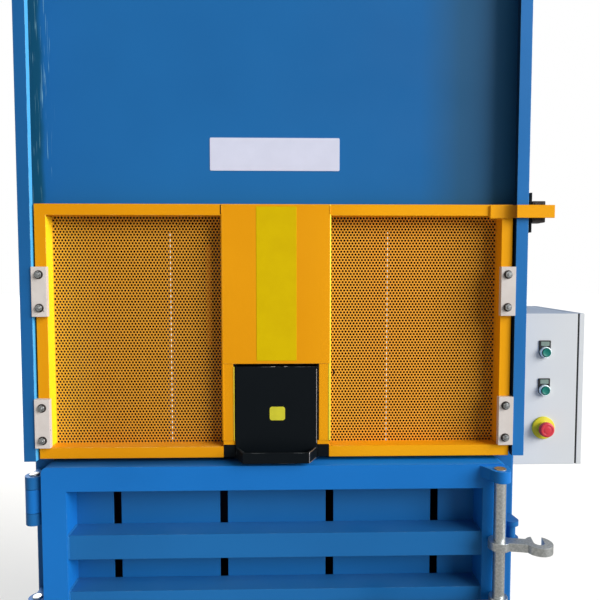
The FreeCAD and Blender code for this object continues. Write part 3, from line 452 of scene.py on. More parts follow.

# Header sheet: 5 mm plate over the feed opening, welded to the posts. A dark teal band of painted shade
# lies on its left margin beside the rail, and the gate has scraped it there.
header_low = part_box("header_plate")[0]
rail_low, rail_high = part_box("left_guide_rail")
header_enamel = enamel("blue_enamel_header", "#1d66a4", "#1a5f9b", "#6f96b8", 0.40, 0.12, 2.5, 0.5)
tree = header_enamel.node_tree
place = add(tree, "ShaderNodeTexCoord").outputs["Object"]
where = place_of(header_enamel)
ragged = noise(tree, place, 11.0, 4.0)
shifted = add(tree, "ShaderNodeMath", {0: ragged, 1: -0.016, 2: where["X"]},
              operation="MULTIPLY_ADD")
# painted shade: a dark teal band beside the left rail, with a ragged edge
shade_band_edge = -0.581
rail_band_painted_shade = fade(header_enamel, shifted.outputs[0], shade_band_edge + 0.006, shade_band_edge - 0.006, 0.85)
overpaint(header_enamel, rail_band_painted_shade, "#114a61")
# scrapes half a millimetre wide and up to 40 mm long, mostly high up beside the rail
stretch = add(tree, "ShaderNodeMapping", {"Vector": place, "Scale": (640.0, 1.0, 12.0)})
scrape = add(tree, "ShaderNodeTexNoise", {"Vector": stretch.outputs[0], "Scale": 1.0, "Detail": 2.0,
                                          "Roughness": 0.4, "Distortion": 0.4})
scraped_to, scraped_above = -0.545, 1.760
line = fade(header_enamel, scrape.outputs["Fac"], 0.650, 0.70)
beside_rail = fade(header_enamel, where["X"], scraped_to + 0.004, scraped_to - 0.012, 0.6)
high_up = fade(header_enamel, where["Z"], scraped_above - 0.100, scraped_above + 0.060,
               1.0, 0.25)
overpaint(header_enamel, product(header_enamel, line, beside_rail, high_up), "#8fc3d2")
# painted shade: the header is greyed and darkened towards the right rail, where the rail's shadow falls
shade_from, shade_to = 0.360, 0.460
dust_and_shade_film = fade(header_enamel, where["X"], shade_from, shade_to, 0.5)
overpaint(header_enamel, dust_and_shade_film, "#2c4a50")
dress(header_enamel, "header_plate")


# Name plate: a thin white laminated plate glued to the header over the gate. Nothing is
# printed on it here. Its corners are cut to a small radius and its edge stands 0.8 mm.
def tablet(width, height, thick, corner, edge, origin, right=(1, 0, 0), up=(0, 0, 1)):
    """A rounded rectangle raised from a face, with its front edge rounded.

    Outline: a quarter circle of the corner radius at each of four corner centres. Rows
    climb the side, then turn in: inset = edge (1 - cos a), height = thick - edge (1 - sin a).
    """
    quarter = np.linspace(0.0, math.pi / 2, 6)
    turn = np.concatenate([quarter + k * math.pi / 2 for k in range(4)])
    side_x = np.repeat([1, -1, -1, 1], 6)
    side_y = np.repeat([1, 1, -1, -1], 6)
    roll = np.linspace(0.0, math.pi / 2, 4)
    inset = np.concatenate([[0.0], edge * (1 - np.cos(roll))])[:, None]
    rise = np.concatenate([[0.0], thick - edge * (1 - np.sin(roll))])
    radius = np.maximum(corner - inset, 0.2 * edge)
    across = side_x * (width / 2 - inset - radius) + radius * np.cos(turn)
    along = side_y * (height / 2 - inset - radius) + radius * np.sin(turn)
    right, up = np.array(right, float), np.array(up, float)
    return loft(np.asarray(origin, float) + across[..., None] * right + along[..., None] * up
                + rise[:, None, None] * np.cross(right, up))


def plastic(name, colour_hex, mottle_hex, roughness, grain_mm, strength, specular=0.3):
    """Moulded or cast plastic: two close shades in broad noise, under a fine skin grain."""
    material, tree, shader, place = surface(name)
    mottle = noise(tree, place, 26.0, 5.0)
    colour = mixed(tree, fade(material, mottle, 0.35, 0.68), colour_hex, mottle_hex)
    tree.links.new(colour, shader.inputs["Base Color"])
    gloss = fade(material, mottle, 0.35, 0.68, roughness + 0.1, roughness)
    tree.links.new(gloss, shader.inputs["Roughness"])
    shader.inputs["Specular IOR Level"].default_value = specular
    grain = noise(tree, place, 1000.0 / grain_mm, 2.0)
    relief(tree, shader, soft_edges(tree, 0.0012), (grain, strength, 0.0003))
    return material


white_laminate = plastic("white_laminate", "#d0d3e6", "#cccfe2", 0.42, 1.5, 0.03, 0.06)
plate_width, plate_height = 0.322, 0.081
plate_centre = (-0.003, header_low.y, 1.7995)
put("bare_name_plate", tablet(plate_width, plate_height, 0.0008, 0.003, 0.0003, plate_centre),
    white_laminate, "frame", 40)

# Guide rails: 4 mm plate folded to a lipped channel and stitched to the front plate along the outer web.
# The left rail is a deeper blue as painted shade and the right rail a paler blue as painted light. The
# left lip's inner edge has a painted highlight in pale blue, and the right lip's a painted shade in near
# black. The folded edges are rubbed pale along their length, partly wear and partly painted highlight.
lip_inside = -rail_high.x
rails = {"left_guide_rail": ("blue_enamel_left_rail_painted_shade", "#1b5f9b", "#18588f", "#57b5ee"),
         "right_guide_rail": ("blue_enamel_right_rail_painted_light", "#246fb3", "#2069aa", "#0b0f13")}
for node, (name, body_hex, deep_hex, lip_highlight_and_shade_hex) in rails.items():
    rail_enamel = enamel(name, body_hex, deep_hex, "#8fc6e6", 0.36, 0.12, 2.5, 0.8, 0.40)
    tree = rail_enamel.node_tree
    across = place_of(rail_enamel)["X"]
    # a face looks inward where its normal's x and its place's x have opposite signs
    towards = product(rail_enamel, facing_of(rail_enamel)["X"], across)
    inward = fade(rail_enamel, towards, -0.3, -0.5)
    away = add(tree, "ShaderNodeMath", {0: across}, operation="ABSOLUTE").outputs[0]
    at_lip = fade(rail_enamel, away, lip_inside + 0.002, lip_inside + 0.001, 0.9)
    # painted highlight on the left lip's inward face, painted shade on the right lip's
    overpaint(rail_enamel, product(rail_enamel, inward, at_lip), lip_highlight_and_shade_hex)
    dress(rail_enamel, node)
seams = []
for side in (-1, 1):
    seams += stitches((side * rail_low.x, header_low.y, rail_low.z + 0.04),
                      (side * rail_low.x, header_low.y, rail_high.z - 0.04), 9, 0.045, 0.0022)
put("rail_welds", together(seams), blue_enamel, "frame", 50)

# Feed gate: a frame of flat steel members with a centre post under a folded cover, sprayed traffic
# yellow-orange. It slides up and down between the two rails. Painted light deepens its orange towards the
# right, and its pale rubbed edges are partly wear and partly painted highlight.
orange_enamel = enamel("orange_semi_gloss_enamel", "#df960d", "#d88e08", "#ffd98a", 0.36, 0.08,
                       2.5, 0.7, 0.42)
painted_light_from, painted_light_to = 0.060, 0.240


def painted_light_right(material):
    """Painted light: mix in a deeper orange from painted_light_from to painted_light_to, in proportion to
    x.
    """
    lit_right_factor = fade(material, place_of(material)["X"], painted_light_from, painted_light_to)
    overpaint(material, lit_right_factor, "#eca20f")


painted_light_right(orange_enamel)
# painted shade: the crank of the trip bar is darkened to brown where it passes behind the rail's lip
across = place_of(orange_enamel)["X"]
crank_from, crank_to = 0.530, 0.5825
short_of = add(orange_enamel.node_tree, "ShaderNodeMath", {0: across, 1: crank_to},
               operation="LESS_THAN").outputs[0]
crank_painted_shade = product(orange_enamel, short_of, fade(orange_enamel, across, crank_from, crank_to, 0.75))
overpaint(orange_enamel, crank_painted_shade, "#5f3310")
dress(orange_enamel, "gate_post_cover", "gate_trip_bar")
gate_low, gate_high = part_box("gate_frame")
mesh_low, mesh_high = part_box("gate_right_mesh")
# painted light: the inner side of the left member, which faces the light from the right, is painted a
# bright yellow
frame_enamel = enamel("orange_enamel_gate_frame", "#df960d", "#d88e08", "#ffd98a", 0.36, 0.08, 2.5,
                      0.7, 0.42)
looks_right = fade(frame_enamel, facing_of(frame_enamel)["X"], 0.6, 0.9)
left_member = fade(frame_enamel, place_of(frame_enamel)["X"], -mesh_high.x + 0.020,
                   -mesh_high.x + 0.010)
overpaint(frame_enamel, product(frame_enamel, looks_right, left_member), "#ffd926")
painted_light_right(frame_enamel)
dress(frame_enamel, "gate_frame")
cover_low, cover_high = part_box("gate_post_cover")
trip_low, trip_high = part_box("gate_trip_bar")
seams = []
for side in (-1, 1):
    for x in (mesh_low.x, mesh_high.x):
        for z in (mesh_low.z, mesh_high.z):
            seams.append(bead((side * x, gate_low.y + 0.004, z), (side * x, mesh_low.y, z), 0.0022))
    seams.append(bead((side * cover_high.x, gate_low.y, mesh_high.z + 0.002),
                      (side * cover_high.x, gate_low.y, gate_high.z - 0.002), 0.0016))
    seams += stitches((side * cover_high.x, cover_high.y, cover_low.z),
                      (side * cover_high.x, cover_high.y, mesh_high.z), 4, 0.025, 0.0012)
seams.append(bead((trip_low.x, gate_low.y, trip_low.z + 0.001), (trip_low.x, gate_low.y,
                                                                trip_high.z - 0.001), 0.0018))
seams.append(bead((trip_low.x, gate_low.y, trip_low.z), (trip_low.x + 0.030, gate_low.y, trip_low.z),
                  0.0018))
put("gate_welds", together(seams), orange_enamel, "gate", 50)
fold_radius = 0.0040
leg_foot = 1.091
fold_long = gate_high.z - leg_foot
folds = [turned([(fold_radius - 0.001, 0), (fold_radius, 0.001), (fold_radius, fold_long - 0.001),
                 (fold_radius - 0.001, fold_long)],
                (side * (cover_high.x - 0.001), cover_low.y + fold_radius, leg_foot), (0, 0, 1), 28)
         for side in (-1, 1)]
# painted highlight: the right fold of the post cover and the inner edge of the left leg are painted a
# pale yellow where the light from the right catches them
highlight_enamel = enamel("orange_enamel_painted_highlight", "#efd83e", "#ecd032", "#fff0a8", 0.34, 0.12, 2.5,
                       0.5, 0.42)
leg_edge, leg_edge_radius, leg_long = -0.1040, 0.0015, 0.185
folds.append(turned([(0.0008, 0), (leg_edge_radius, 0.001), (leg_edge_radius, leg_long - 0.001),
                     (0.0008, leg_long)], (leg_edge, gate_low.y, leg_foot), (0, 0, 1), 20))
put("post_cover_left_fold", folds[0], orange_enamel, "gate", 50)
put("post_cover_right_fold", folds[1], highlight_enamel, "gate", 50)
put("left_leg_edge", folds[2], highlight_enamel, "gate", 50)

# Strip on the post: a yellow vinyl label field, left bare, stuck to the cover.
yellow_vinyl = plastic("yellow_vinyl", "#cfb103", "#cbac02", 0.50, 2.0, 0.04, 0.05)
strip_width, strip_low_z, strip_high_z = 0.098, 1.2905, 1.6665
put("bare_label_strip",
    tablet(strip_width, strip_high_z - strip_low_z, 0.0004, 0.002, 0.0002,
           (0.001, cover_low.y, (strip_low_z + strip_high_z) / 2)),
    yellow_vinyl, "gate", 40)

# Perforated sheets: 1.5 mm steel with 5.5 mm round holes at 8 mm pitch, each row shifted
# by half a pitch, welded to the back of the gate frame and sprayed with it, more thinly.
hole_pitch = 0.008
hole_diameter = 0.0055
hole_sides = 8
row_pitch = hole_pitch * math.sqrt(3) / 2


def perforated(low, high):
    """A sheet of staggered round holes that fills a box.

    Each hole sits in a brick one pitch wide and one row high, and rows are laid half a
    brick apart, so a brick's middle points meet its neighbours' corners. Ring points of
    the hole are joined to the brick's six outline points, on both faces of the sheet. The
    ring is an octagon with the round hole's area: radius = d / 2 sqrt(pi / (8 sin 22.5 cos 22.5)).
    """
    across = round((high.x - low.x) / hole_pitch - 0.5)
    rows = round((high.z - low.z) / row_pitch)
    pitch = (high.x - low.x) / (across + 0.5)
    rise = (high.z - low.z) / rows
    half_angle = math.pi / hole_sides
    radius = hole_diameter / 2 * math.sqrt(math.pi / (hole_sides * math.sin(half_angle)
                                                      * math.cos(half_angle)))
    turn = (np.arange(hole_sides) + 0.5) * 2 * np.pi / hole_sides
    ring = radius * np.stack([np.cos(turn), np.sin(turn)], 1)
    h, r = pitch / 2, rise / 2
    brick = np.array([(h, -r), (h, r), (0, r), (-h, r), (-h, -r), (0, -r)])
    i, j = np.meshgrid(np.arange(across), np.arange(rows))
    centre = np.stack([low.x + (i + 0.5 + 0.5 * (j % 2)) * pitch, low.z + (j + 0.5) * rise],
                      -1).reshape(-1, 2)
    spots = centre[:, None, :] + np.concatenate([ring, brick])[None, :, :]
    count, per = spots.shape[:2]
    # ring points 0 to 7 go round anticlockwise from 22.5 degrees; brick points 8 to 13
    # go from the lower right corner round by the top
    fan = [(0, 9, 1), (0, 8, 9), (1, 9, 10), (1, 10, 2), (2, 10, 11), (2, 11, 3), (3, 11, 12),
           (3, 12, 4), (4, 12, 5), (5, 12, 13), (5, 13, 6), (6, 13, 8), (6, 8, 7), (7, 8, 0)]
    front = np.insert(spots, 1, low.y, axis=2)
    back = np.insert(spots, 1, high.y, axis=2)
    base = (np.arange(count) * per)[:, None, None]
    face = (np.array(fan)[None] + base).reshape(-1, 3)
    k = np.arange(hole_sides)
    after = (k + 1) % hole_sides
    wall = np.stack([k, k + count * per, after + count * per, after], 1)
    faces = (face.tolist() + (face[:, ::-1] + count * per).tolist()
             + (wall[None] + base).reshape(-1, 4).tolist())
    # a plain half brick closes one end of each row
    ends = [low.x if row % 2 else high.x - h for row in range(rows)]
    plain = [(np.array([(x, y, z) for y in (low.y, high.y)
                        for x, z in ((a, c), (a + h, c), (a + h, c + rise), (a, c + rise))]),
              [[0, 1, 2, 3], [7, 6, 5, 4]])
             for a, c in zip(ends, low.z + rise * np.arange(rows))]
    return together([(np.concatenate([front.reshape(-1, 3), back.reshape(-1, 3)]), faces)] + plain)


sheet_enamel = enamel("orange_enamel_thin", "#dc9a30", "#d49029", "#e8b45a", 0.42, 0.08, 2.5, 0.3)
across = place_of(sheet_enamel)["X"]
right_sheet = add(sheet_enamel.node_tree, "ShaderNodeMath", {0: across, 1: 0.0},
                  operation="GREATER_THAN").outputs[0]
# painted light: the sheet is painted lighter and yellower beside the left member and to the right of the
# post, and a deeper orange over the right sheet, fading out near the right member
beside_member = fade(sheet_enamel, across, -mesh_high.x + 0.110, -mesh_high.x, 0.75)
beside_post = product(sheet_enamel, right_sheet,
                      fade(sheet_enamel, across, mesh_low.x + 0.110, mesh_low.x, 0.6))
painted_light_beside_frame = add(sheet_enamel.node_tree, "ShaderNodeMath", {0: beside_member, 1: beside_post},
                operation="MAXIMUM")
lit_right_factor = product(sheet_enamel, right_sheet,
                 fade(sheet_enamel, across, mesh_high.x - 0.050, mesh_high.x - 0.180))
overpaint(sheet_enamel, lit_right_factor, "#efa233")
overpaint(sheet_enamel, painted_light_beside_frame.outputs[0], "#dcac38")
for node in ("gate_left_mesh", "gate_right_mesh"):
    sheet = put(node + "_perforated", perforated(*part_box(node)), sheet_enamel, "gate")
    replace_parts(sheet, node)

# Back bar: a flat bar welded behind the left sheet beside the post, where the holes show it; its colour
# is darkened to a red-brown as painted shade. Beside the post each sheet has a small dark keyhole plate,
# and the cover meets the top member at a dark joint.
dark_bar_paint = enamel("red_brown_painted_shade", "#9a5114", "#8f4a12", "#b07a40", 0.6, 0.05, 1.5, 0.2)
bar_left, bar_right, bar_low, bar_high = -0.175, -0.162, 1.323, 1.575
put("sheet_back_bar", tablet(bar_right - bar_left, bar_high - bar_low, 0.0025, 0.002, 0.0008,
                             ((bar_left + bar_right) / 2, mesh_high.y, (bar_low + bar_high) / 2),
                             (-1, 0, 0)), dark_bar_paint, "gate", 40)
black_enamel = enamel("black_satin_enamel", "#0a0f13", "#0c1115", "#85898a", 0.46, 0.06, 2.5, 0.8)
keyhole_columns, keyhole_level = (-0.1413, 0.1450), 1.2550
joint_column, joint_level = -0.1338, 1.6590
keyholes = [tablet(0.0035, 0.0130, 0.0010, 0.0015, 0.0004, (x, mesh_low.y, keyhole_level))
            for x in keyhole_columns]
seam_gap = tablet(0.0022, 0.0220, 0.0006, 0.0008, 0.0003, (joint_column, gate_low.y, joint_level))
put("keyholes_and_seam", together(keyholes + [seam_gap]), black_enamel, "gate", 40)

# Guide shoes: blocks sawn from cream cast nylon, each held to the gate by two galvanised
# M10 hexagon bolts on plain washers. Grease and steel dust have left dark specks on them.
nylon = plastic("cast_nylon", "#d0c9c4", "#c7bfba", 0.48, 0.9, 0.10)
tree = nylon.node_tree
place = add(tree, "ShaderNodeTexCoord").outputs["Object"]
specks = add(tree, "ShaderNodeTexVoronoi", {"Vector": place, "Scale": 55.0, "Randomness": 1.0})
near = fade(nylon, specks.outputs["Distance"], 0.15, 0.07)
some = fade(nylon, noise(tree, place, 30.0, 2.0), 0.56, 0.62, 0.7)
overpaint(nylon, product(nylon, near, some), "#5d5750")
dress(nylon, "guide_shoes")


def metal(name, colour_hex, patina_hex, roughness, spangle_mm, brushed=(1.0, 1.0, 1.0)):
    """Bare or plated metal: patina in noise of the spangle's size, stretched if brushed."""
    material, tree, shader, place = surface(name)
    shader.inputs["Metallic"].default_value = 1.0
    drawn = add(tree, "ShaderNodeMapping", {"Vector": place, "Scale": brushed}).outputs[0]
    spangle = noise(tree, drawn, 1000.0 / spangle_mm, 4.0)
    colour = mixed(tree, fade(material, spangle, 0.36, 0.64), colour_hex, patina_hex)
    tree.links.new(colour, shader.inputs["Base Color"])
    gloss = fade(material, spangle, 0.3, 0.7, roughness + 0.12, roughness - 0.04)
    tree.links.new(gloss, shader.inputs["Roughness"])
    relief(tree, shader, soft_edges(tree, 0.0010), (spangle, 0.08, 0.0002))
    return material


def hex_head(centre, axis, flats, height):
    """A hexagon head whose corners are turned off at 30 degrees.

    Its radius is the smaller of the hexagon's, flats / 2 / cos(angle from a flat's
    middle), and the cone's, which shrinks by cot 30 for each bit of height near the top.
    """
    turn = np.arange(36) * 2 * math.pi / 36
    hexagon = flats / 2 / np.cos((turn + math.pi / 6) % (math.pi / 3) - math.pi / 6)
    crown = 0.475 * flats
    drop = np.array([height, 0.07 * flats, 0.045 * flats, 0.02 * flats, 0.0])
    cone = crown + drop / math.tan(math.radians(30))
    return spun(np.minimum(hexagon[None, :], cone[:, None]), height - drop, centre, axis)


def washer(centre, axis, radius, thick):
    """A plain washer, its rim rounded over."""
    rim = 0.3 * thick
    return turned([(radius, 0), (radius, thick - rim), (radius - rim, thick)], centre, axis)


galvanised = metal("galvanised_steel", "#979998", "#6d7072", 0.42, 3.0)
shoe_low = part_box("guide_shoes")[0]
bolt_columns = (-0.5665, 0.5655)
bolt_levels = (1.099, 1.179, 1.422, 1.502)
washer_thick, head_high = 0.0018, 0.0056
front = (0, -1, 0)
# the washers are dark oiled steel, and their darkness is also painted shade round each bolt head
washer_steel_paint = metal("dark_washer_steel_painted_shade", "#4d4745", "#332f2e", 0.40, 3.0)
bolts, washers = [], []
for x in bolt_columns:
    for z in bolt_levels:
        washers.append(washer((x, shoe_low.y, z), front, 0.0105, washer_thick))
        bolts.append(hex_head((x, shoe_low.y - washer_thick, z), front, 0.0150, head_high))
        bolts.append(turned([(0.0042, 0), (0.0042, 0.0016), (0.0034, 0.0023)],
                            (x, shoe_low.y - washer_thick - head_high, z), front, 20))
put("shoe_bolts", together(bolts), galvanised, "gate", 35)
put("shoe_washers", together(washers), washer_steel_paint, "gate", 35)

# Tray and latch flap: folded sheet under satin black enamel, bare where hands and the
# gate's hook have rubbed the folds. Orange from the gate's legs runs on down the fronts of
# the tray's ears. The yellow field on the flap is left bare.
tray_enamel = enamel("black_satin_enamel_tray", "#0a0f13", "#0c1115", "#85898a", 0.46, 0.06, 2.5, 0.8)
tree = tray_enamel.node_tree
where, facing = place_of(tray_enamel), facing_of(tray_enamel)
away = add(tree, "ShaderNodeMath", {0: where["X"]}, operation="ABSOLUTE").outputs[0]
overlap_foot, ear_inner = leg_foot - 0.0095, 0.1005
tests = ((where["Z"], "GREATER_THAN", overlap_foot), (facing["Y"], "LESS_THAN", -0.7),
         (away, "GREATER_THAN", ear_inner), (where["Z"], "LESS_THAN", leg_foot + 0.001))
laid = product(tray_enamel, *[add(tree, "ShaderNodeMath", {0: value, 1: limit},
                                  operation=test).outputs[0] for value, test, limit in tests])
overpaint(tray_enamel, laid, "#e0960c")
dress(tray_enamel, "latch_tray")
dress(black_enamel, "latch_flap")
flap_low, flap_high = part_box("latch_flap")
flap_front = gate_low.y - 0.004
olive_vinyl = plastic("dull_yellow_vinyl", "#c9c22c", "#bdb628", 0.42, 2.0, 0.04)
put("bare_flap_label", tablet(0.038, 0.034, 0.0004, 0.006, 0.0002, (0.0025, flap_front, 1.160)),
    olive_vinyl, "latch", 40)
rubbed_steel = metal("rubbed_bare_steel", "#b4b2b3", "#8d8b8c", 0.40, 3.0)
rub = 0.0008
flap_edge = flap_high.x - 0.0015
scoop_in, scoop_out, scoop_top = 0.098, 0.080, 1.0745
rubbed = [bead((flap_edge, flap_front, scoop_top + 0.010), (flap_edge, flap_front, flap_high.z - 0.006),
               rub),
          bead((-0.013, flap_front + 0.001, flap_high.z), (-0.002, flap_front + 0.001, flap_high.z),
               rub),
          bead((0.019, flap_front + 0.001, flap_high.z), (0.026, flap_front + 0.001, flap_high.z),
               rub),
          bead((scoop_in, flap_front, scoop_top), (scoop_out, flap_low.y, scoop_top), rub),
          bead((scoop_out, flap_low.y, scoop_top), (scoop_out, flap_low.y, flap_low.z + rub), rub),
          bead((scoop_out, flap_low.y, flap_low.z + rub), (scoop_in, flap_front, flap_low.z + rub),
               rub)]
put("flap_rubbed_edges", together(rubbed), rubbed_steel, "latch", 50)

# Gate switch: a moulded safety switch on a zinc-plated bracket beside the rail, with a
# screwed lid. The bracket carries the same black enamel as the latch.
black_plastic = plastic("black_glass_filled_nylon", "#17191b", "#1d1f21", 0.5, 0.7, 0.14)
zinc = metal("zinc_plated_steel", "#c3c5c4", "#a3a7a6", 0.34, 5.0)
switch_low, switch_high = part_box("gate_switch")
switch_mid = [(a + b) / 2 for a, b in zip(switch_low, switch_high)]
switch_size = [b - a for a, b in zip(switch_low, switch_high)]
lid_joint, switch_lid = 0.0008, 0.0072
parts = [tablet(switch_size[0], switch_size[2], switch_size[1] - switch_lid - lid_joint, 0.002, 0.0008,
                (switch_mid[0], switch_high.y, switch_mid[2])),
         tablet(switch_size[0], switch_size[2], switch_lid, 0.002, 0.001,
                (switch_mid[0], switch_low.y + switch_lid, switch_mid[2]))]
switch_plastic = plastic("brown_black_thermoset", "#1d110c", "#170d09", 0.42, 0.9, 0.10)
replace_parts(put("gate_switch_housing", together(parts), switch_plastic, "frame", 35),
            "gate_switch")
screws = [turned([(0.0028, 0), (0.0028, 0.0008), (0.0022, 0.0012)],
                 (switch_mid[0] + sx * 0.009, switch_low.y, switch_mid[2] + sz * 0.019), front, 20)
          for sx in (-1, 1) for sz in (-1, 1)]
put("switch_lid_screws", together(screws), black_plastic, "frame", 35)
dress(black_enamel, "switch_bracket")
bracket_low, bracket_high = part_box("switch_bracket")
bolts = [hex_head((bracket_low.x + 0.0055, bracket_low.y + 0.012, z), (-1, 0, 0), 0.010, 0.0035)
         for z in (bracket_low.z + 0.010, bracket_high.z - 0.010)]
put("switch_bracket_bolts", together(bolts), galvanised, "frame", 35)

# Rail buffers: turned rubber stops that the lower shoes come down on.
rubber = plastic("black_rubber", "#1a1a1b", "#232324", 0.72, 1.2, 0.2)
dress(rubber, "gate_buffers")

# Lower door: a ring of folded channel with cross ribs, welded all round, on three pairs
# of turned knuckles. Its skin is laid in strips so that straps pass between them.
door_low, door_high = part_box("lower_door_frame")
door_rib_low, door_rib_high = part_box("lower_door_ribs")
door_half, door_channel, door_front = 0.567, 0.060, -0.430
window_half = door_half - door_channel
door_rib_levels = (0.4156, 0.5562, 0.6968, 0.8374)
seams = []
for level in door_rib_levels:
    for x in (-window_half, window_half):
        seams.append(bead((x, door_rib_low.y, level - rib_half_height),
                          (x, door_rib_low.y, level + rib_half_height), plate_weld))
        for z in (level - rib_half_height, level + rib_half_height):
            seams.append(bead((x, door_rib_low.y, z), (x, door_rib_high.y - 0.004, z), plate_weld))
for x in (-window_half, window_half):
    for z in (door_low.z + door_channel, door_high.z - door_channel):
        seams.append(bead((x, door_front, z), (x, door_rib_high.y - 0.004, z), 0.0025))
put("lower_door_welds", together(seams), blue_enamel, "lower_door", 50)

hinge_levels = (0.330, 0.640, 0.950)
hinge_x, hinge_y = -0.594, -0.400
knuckle_height = 0.060
post_front = wall_low.y
seams = []
for level in hinge_levels:
    for side in (-1, 1):
        for x in (-0.011, 0.011):
            seams.append(bead((hinge_x + x, post_front, level + side * knuckle_height / 2),
                              (hinge_x + x, post_front, level + side * knuckle_height), plate_weld))
put("hinge_welds", together(seams), blue_enamel, "frame", 50)
pins = [turned([(0.0118, 0), (0.0118, 0.0030), (0.0100, 0.0042)],
               (hinge_x, hinge_y, level + knuckle_height), (0, 0, 1), 32) for level in hinge_levels]
put("hinge_pin_heads", together(pins), zinc, "frame", 35)

# Door lock: a bright zinc-plated shaft with two claws, turned by a long lever that has
# a ribbed black rubber grip pushed over its end.
dress(zinc, "lock_shaft")
lock_x, lock_y, lever_z = 0.540, -0.456, 0.700
lever_run = np.array((-0.330, -0.030, 0.0))
grip_long = 0.112
grip_way = lever_run / np.linalg.norm(lever_run)
grip_start = np.array((lock_x, lock_y, lever_z)) + lever_run - grip_way * grip_long
reach = np.linspace(0.0, grip_long, 57)
swell = 0.0158 + 0.0012 * np.abs(np.sin(math.pi * reach / 0.008)) ** 0.6
ends = np.clip(np.minimum(reach / 0.003, (grip_long + 0.0035 - reach) / 0.008), 0.05, 1) ** 0.4
put("lever_grip", turned(np.stack([swell * ends, reach], 1), grip_start, grip_way, 36), rubber,
    "lower_door", 50)

# Press cylinder and platen: a drawn steel barrel bolted down by its flange, with a hard
# chromed rod, and a wiper of black polyurethane where the rod comes out.
chrome = metal("hard_chrome", "#d4d6d8", "#c2c5c8", 0.12, 14.0, (1.0, 1.0, 0.12))
dress(chrome, "press_rod")
rod_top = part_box("press_rod")[1].z
rod_radius, wiper_high = 0.050, 0.014
put("rod_wiper", turned([(rod_radius, 0), (0.066, 0), (0.068, 0.002), (0.068, 0.010), (0.060, wiper_high),
                         (rod_radius, wiper_high)], (0, 0, rod_top - wiper_high), (0, 0, 1), 48), rubber,
    "frame", 35)
deck_low, deck_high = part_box("top_deck")
seat_low, seat_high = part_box("cylinder_seat")
barrel_radius = 0.090
cylinder_low, cylinder_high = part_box("press_cylinder")
flange_top = seat_high.z + 0.040


def weld_ring(radius, z, size):
    """A weld bead round an upright tube: a ring of round section whose size swells with
    |sin| of the angle, one ripple for each ripple pitch of its length."""
    count = int(2 * math.pi * radius / ripple_pitch)
    turn = np.arange(3 * count) * 2 * math.pi / (3 * count)
    roll = np.arange(bead_sides) * 2 * math.pi / bead_sides
    fat = size * (1 + 0.2 * np.abs(np.sin(turn * count / 2)))
    out = radius + fat[:, None] * np.cos(roll)
    points = np.stack([out * np.cos(turn)[:, None], out * np.sin(turn)[:, None],
                       z + fat[:, None] * np.sin(roll)], -1)
    rows, columns = points.shape[:2]
    index = np.arange(rows * columns).reshape(rows, columns)
    here, after = index, np.roll(index, -1, 0)
    quads = np.stack([here, after, np.roll(after, -1, 1), np.roll(here, -1, 1)], -1)
    return points.reshape(-1, 3), quads.reshape(-1, 4).tolist()


seams = [weld_ring(barrel_radius, flange_top, 0.005),
         weld_ring(barrel_radius, cylinder_high.z - 0.045, 0.003)]
for x0, y0, x1, y1 in ((-1, -1, 1, -1), (1, -1, 1, 1), (1, 1, -1, 1), (-1, 1, -1, -1)):
    seams += stitches((x0 * seat_high.x, y0 * seat_high.y, seat_low.z),
                      (x1 * seat_high.x, y1 * seat_high.y, seat_low.z), 4, 0.050, 0.004)
for side in (-1, 1):
    seams += stitches((side * deck_high.x, deck_low.y, deck_low.z),
                      (side * deck_high.x, deck_high.y, deck_low.z), 6, 0.045, 0.002)
put("cylinder_and_deck_welds", together(seams), blue_enamel, "frame", 50)

# Power unit: a welded oil tank with a bolted lid, a finned motor in grey enamel, a zinc
# plated valve block with two moulded coils, and drawn tubes with compression nuts.
motor_enamel = enamel("grey_motor_enamel", "#4f575b", "#485054", "#8b9092", 0.45, 0.15, 1.8, 0.3)
dress(motor_enamel, "pump_motor")
dress(zinc, "valve_block", "hydraulic_pipes")
tank_low, tank_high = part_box("oil_tank")
lid_top = tank_high.z - 0.045
up = (0, 0, 1)
bolts = []
for x in (tank_low.x + 0.012, (tank_low.x + tank_high.x) / 2, tank_high.x - 0.012):
    for y in (tank_low.y + 0.012, tank_high.y - 0.012):
        bolts.append(washer((x, y, lid_top), up, 0.0090, 0.0016))
        bolts.append(hex_head((x, y, lid_top + 0.0016), up, 0.013, 0.0053))
motor_low, motor_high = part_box("pump_motor")
motor_x, motor_y = -0.460, 0.050
foot_top, bolt_circle = lid_top + 0.015, 0.083
for k in range(4):
    turn = math.radians(45 + 90 * k)
    at = (motor_x + bolt_circle * math.cos(turn), motor_y + bolt_circle * math.sin(turn), foot_top)
    bolts.append(hex_head(at, up, 0.016, 0.008))
put("power_unit_bolts", together(bolts), galvanised, "frame", 35)

filler_x, filler_y = tank_low.x + 0.070, tank_low.y + 0.070
put("filler_cap", turned([(0.027, 0), (0.031, 0.001), (0.031, 0.016), (0.028, 0.020), (0.012, 0.021)],
                         (filler_x, filler_y, tank_high.z - 0.020), up, 144, 24, 0.018),
    black_plastic, "frame", 50)

cowl_radius = 0.101
ring_count = 6
ring_radius = np.linspace(cowl_radius - 0.010, 0.014, 4 * ring_count + 1)
ring_rise = 0.0035 * (0.5 - 0.5 * np.cos(np.linspace(0, 2 * math.pi * ring_count, 4 * ring_count + 1)))
cowl_top = motor_high.z
cowl = [(cowl_radius, -0.078), (cowl_radius + 0.002, -0.077), (cowl_radius + 0.002, -0.008),
        (cowl_radius, -0.003), (cowl_radius - 0.005, 0.0)]
cowl += list(zip(ring_radius, ring_rise - 0.0002))
put("fan_cowl", turned(cowl, (motor_x, motor_y, cowl_top), up, 64), motor_enamel, "frame",
    40)

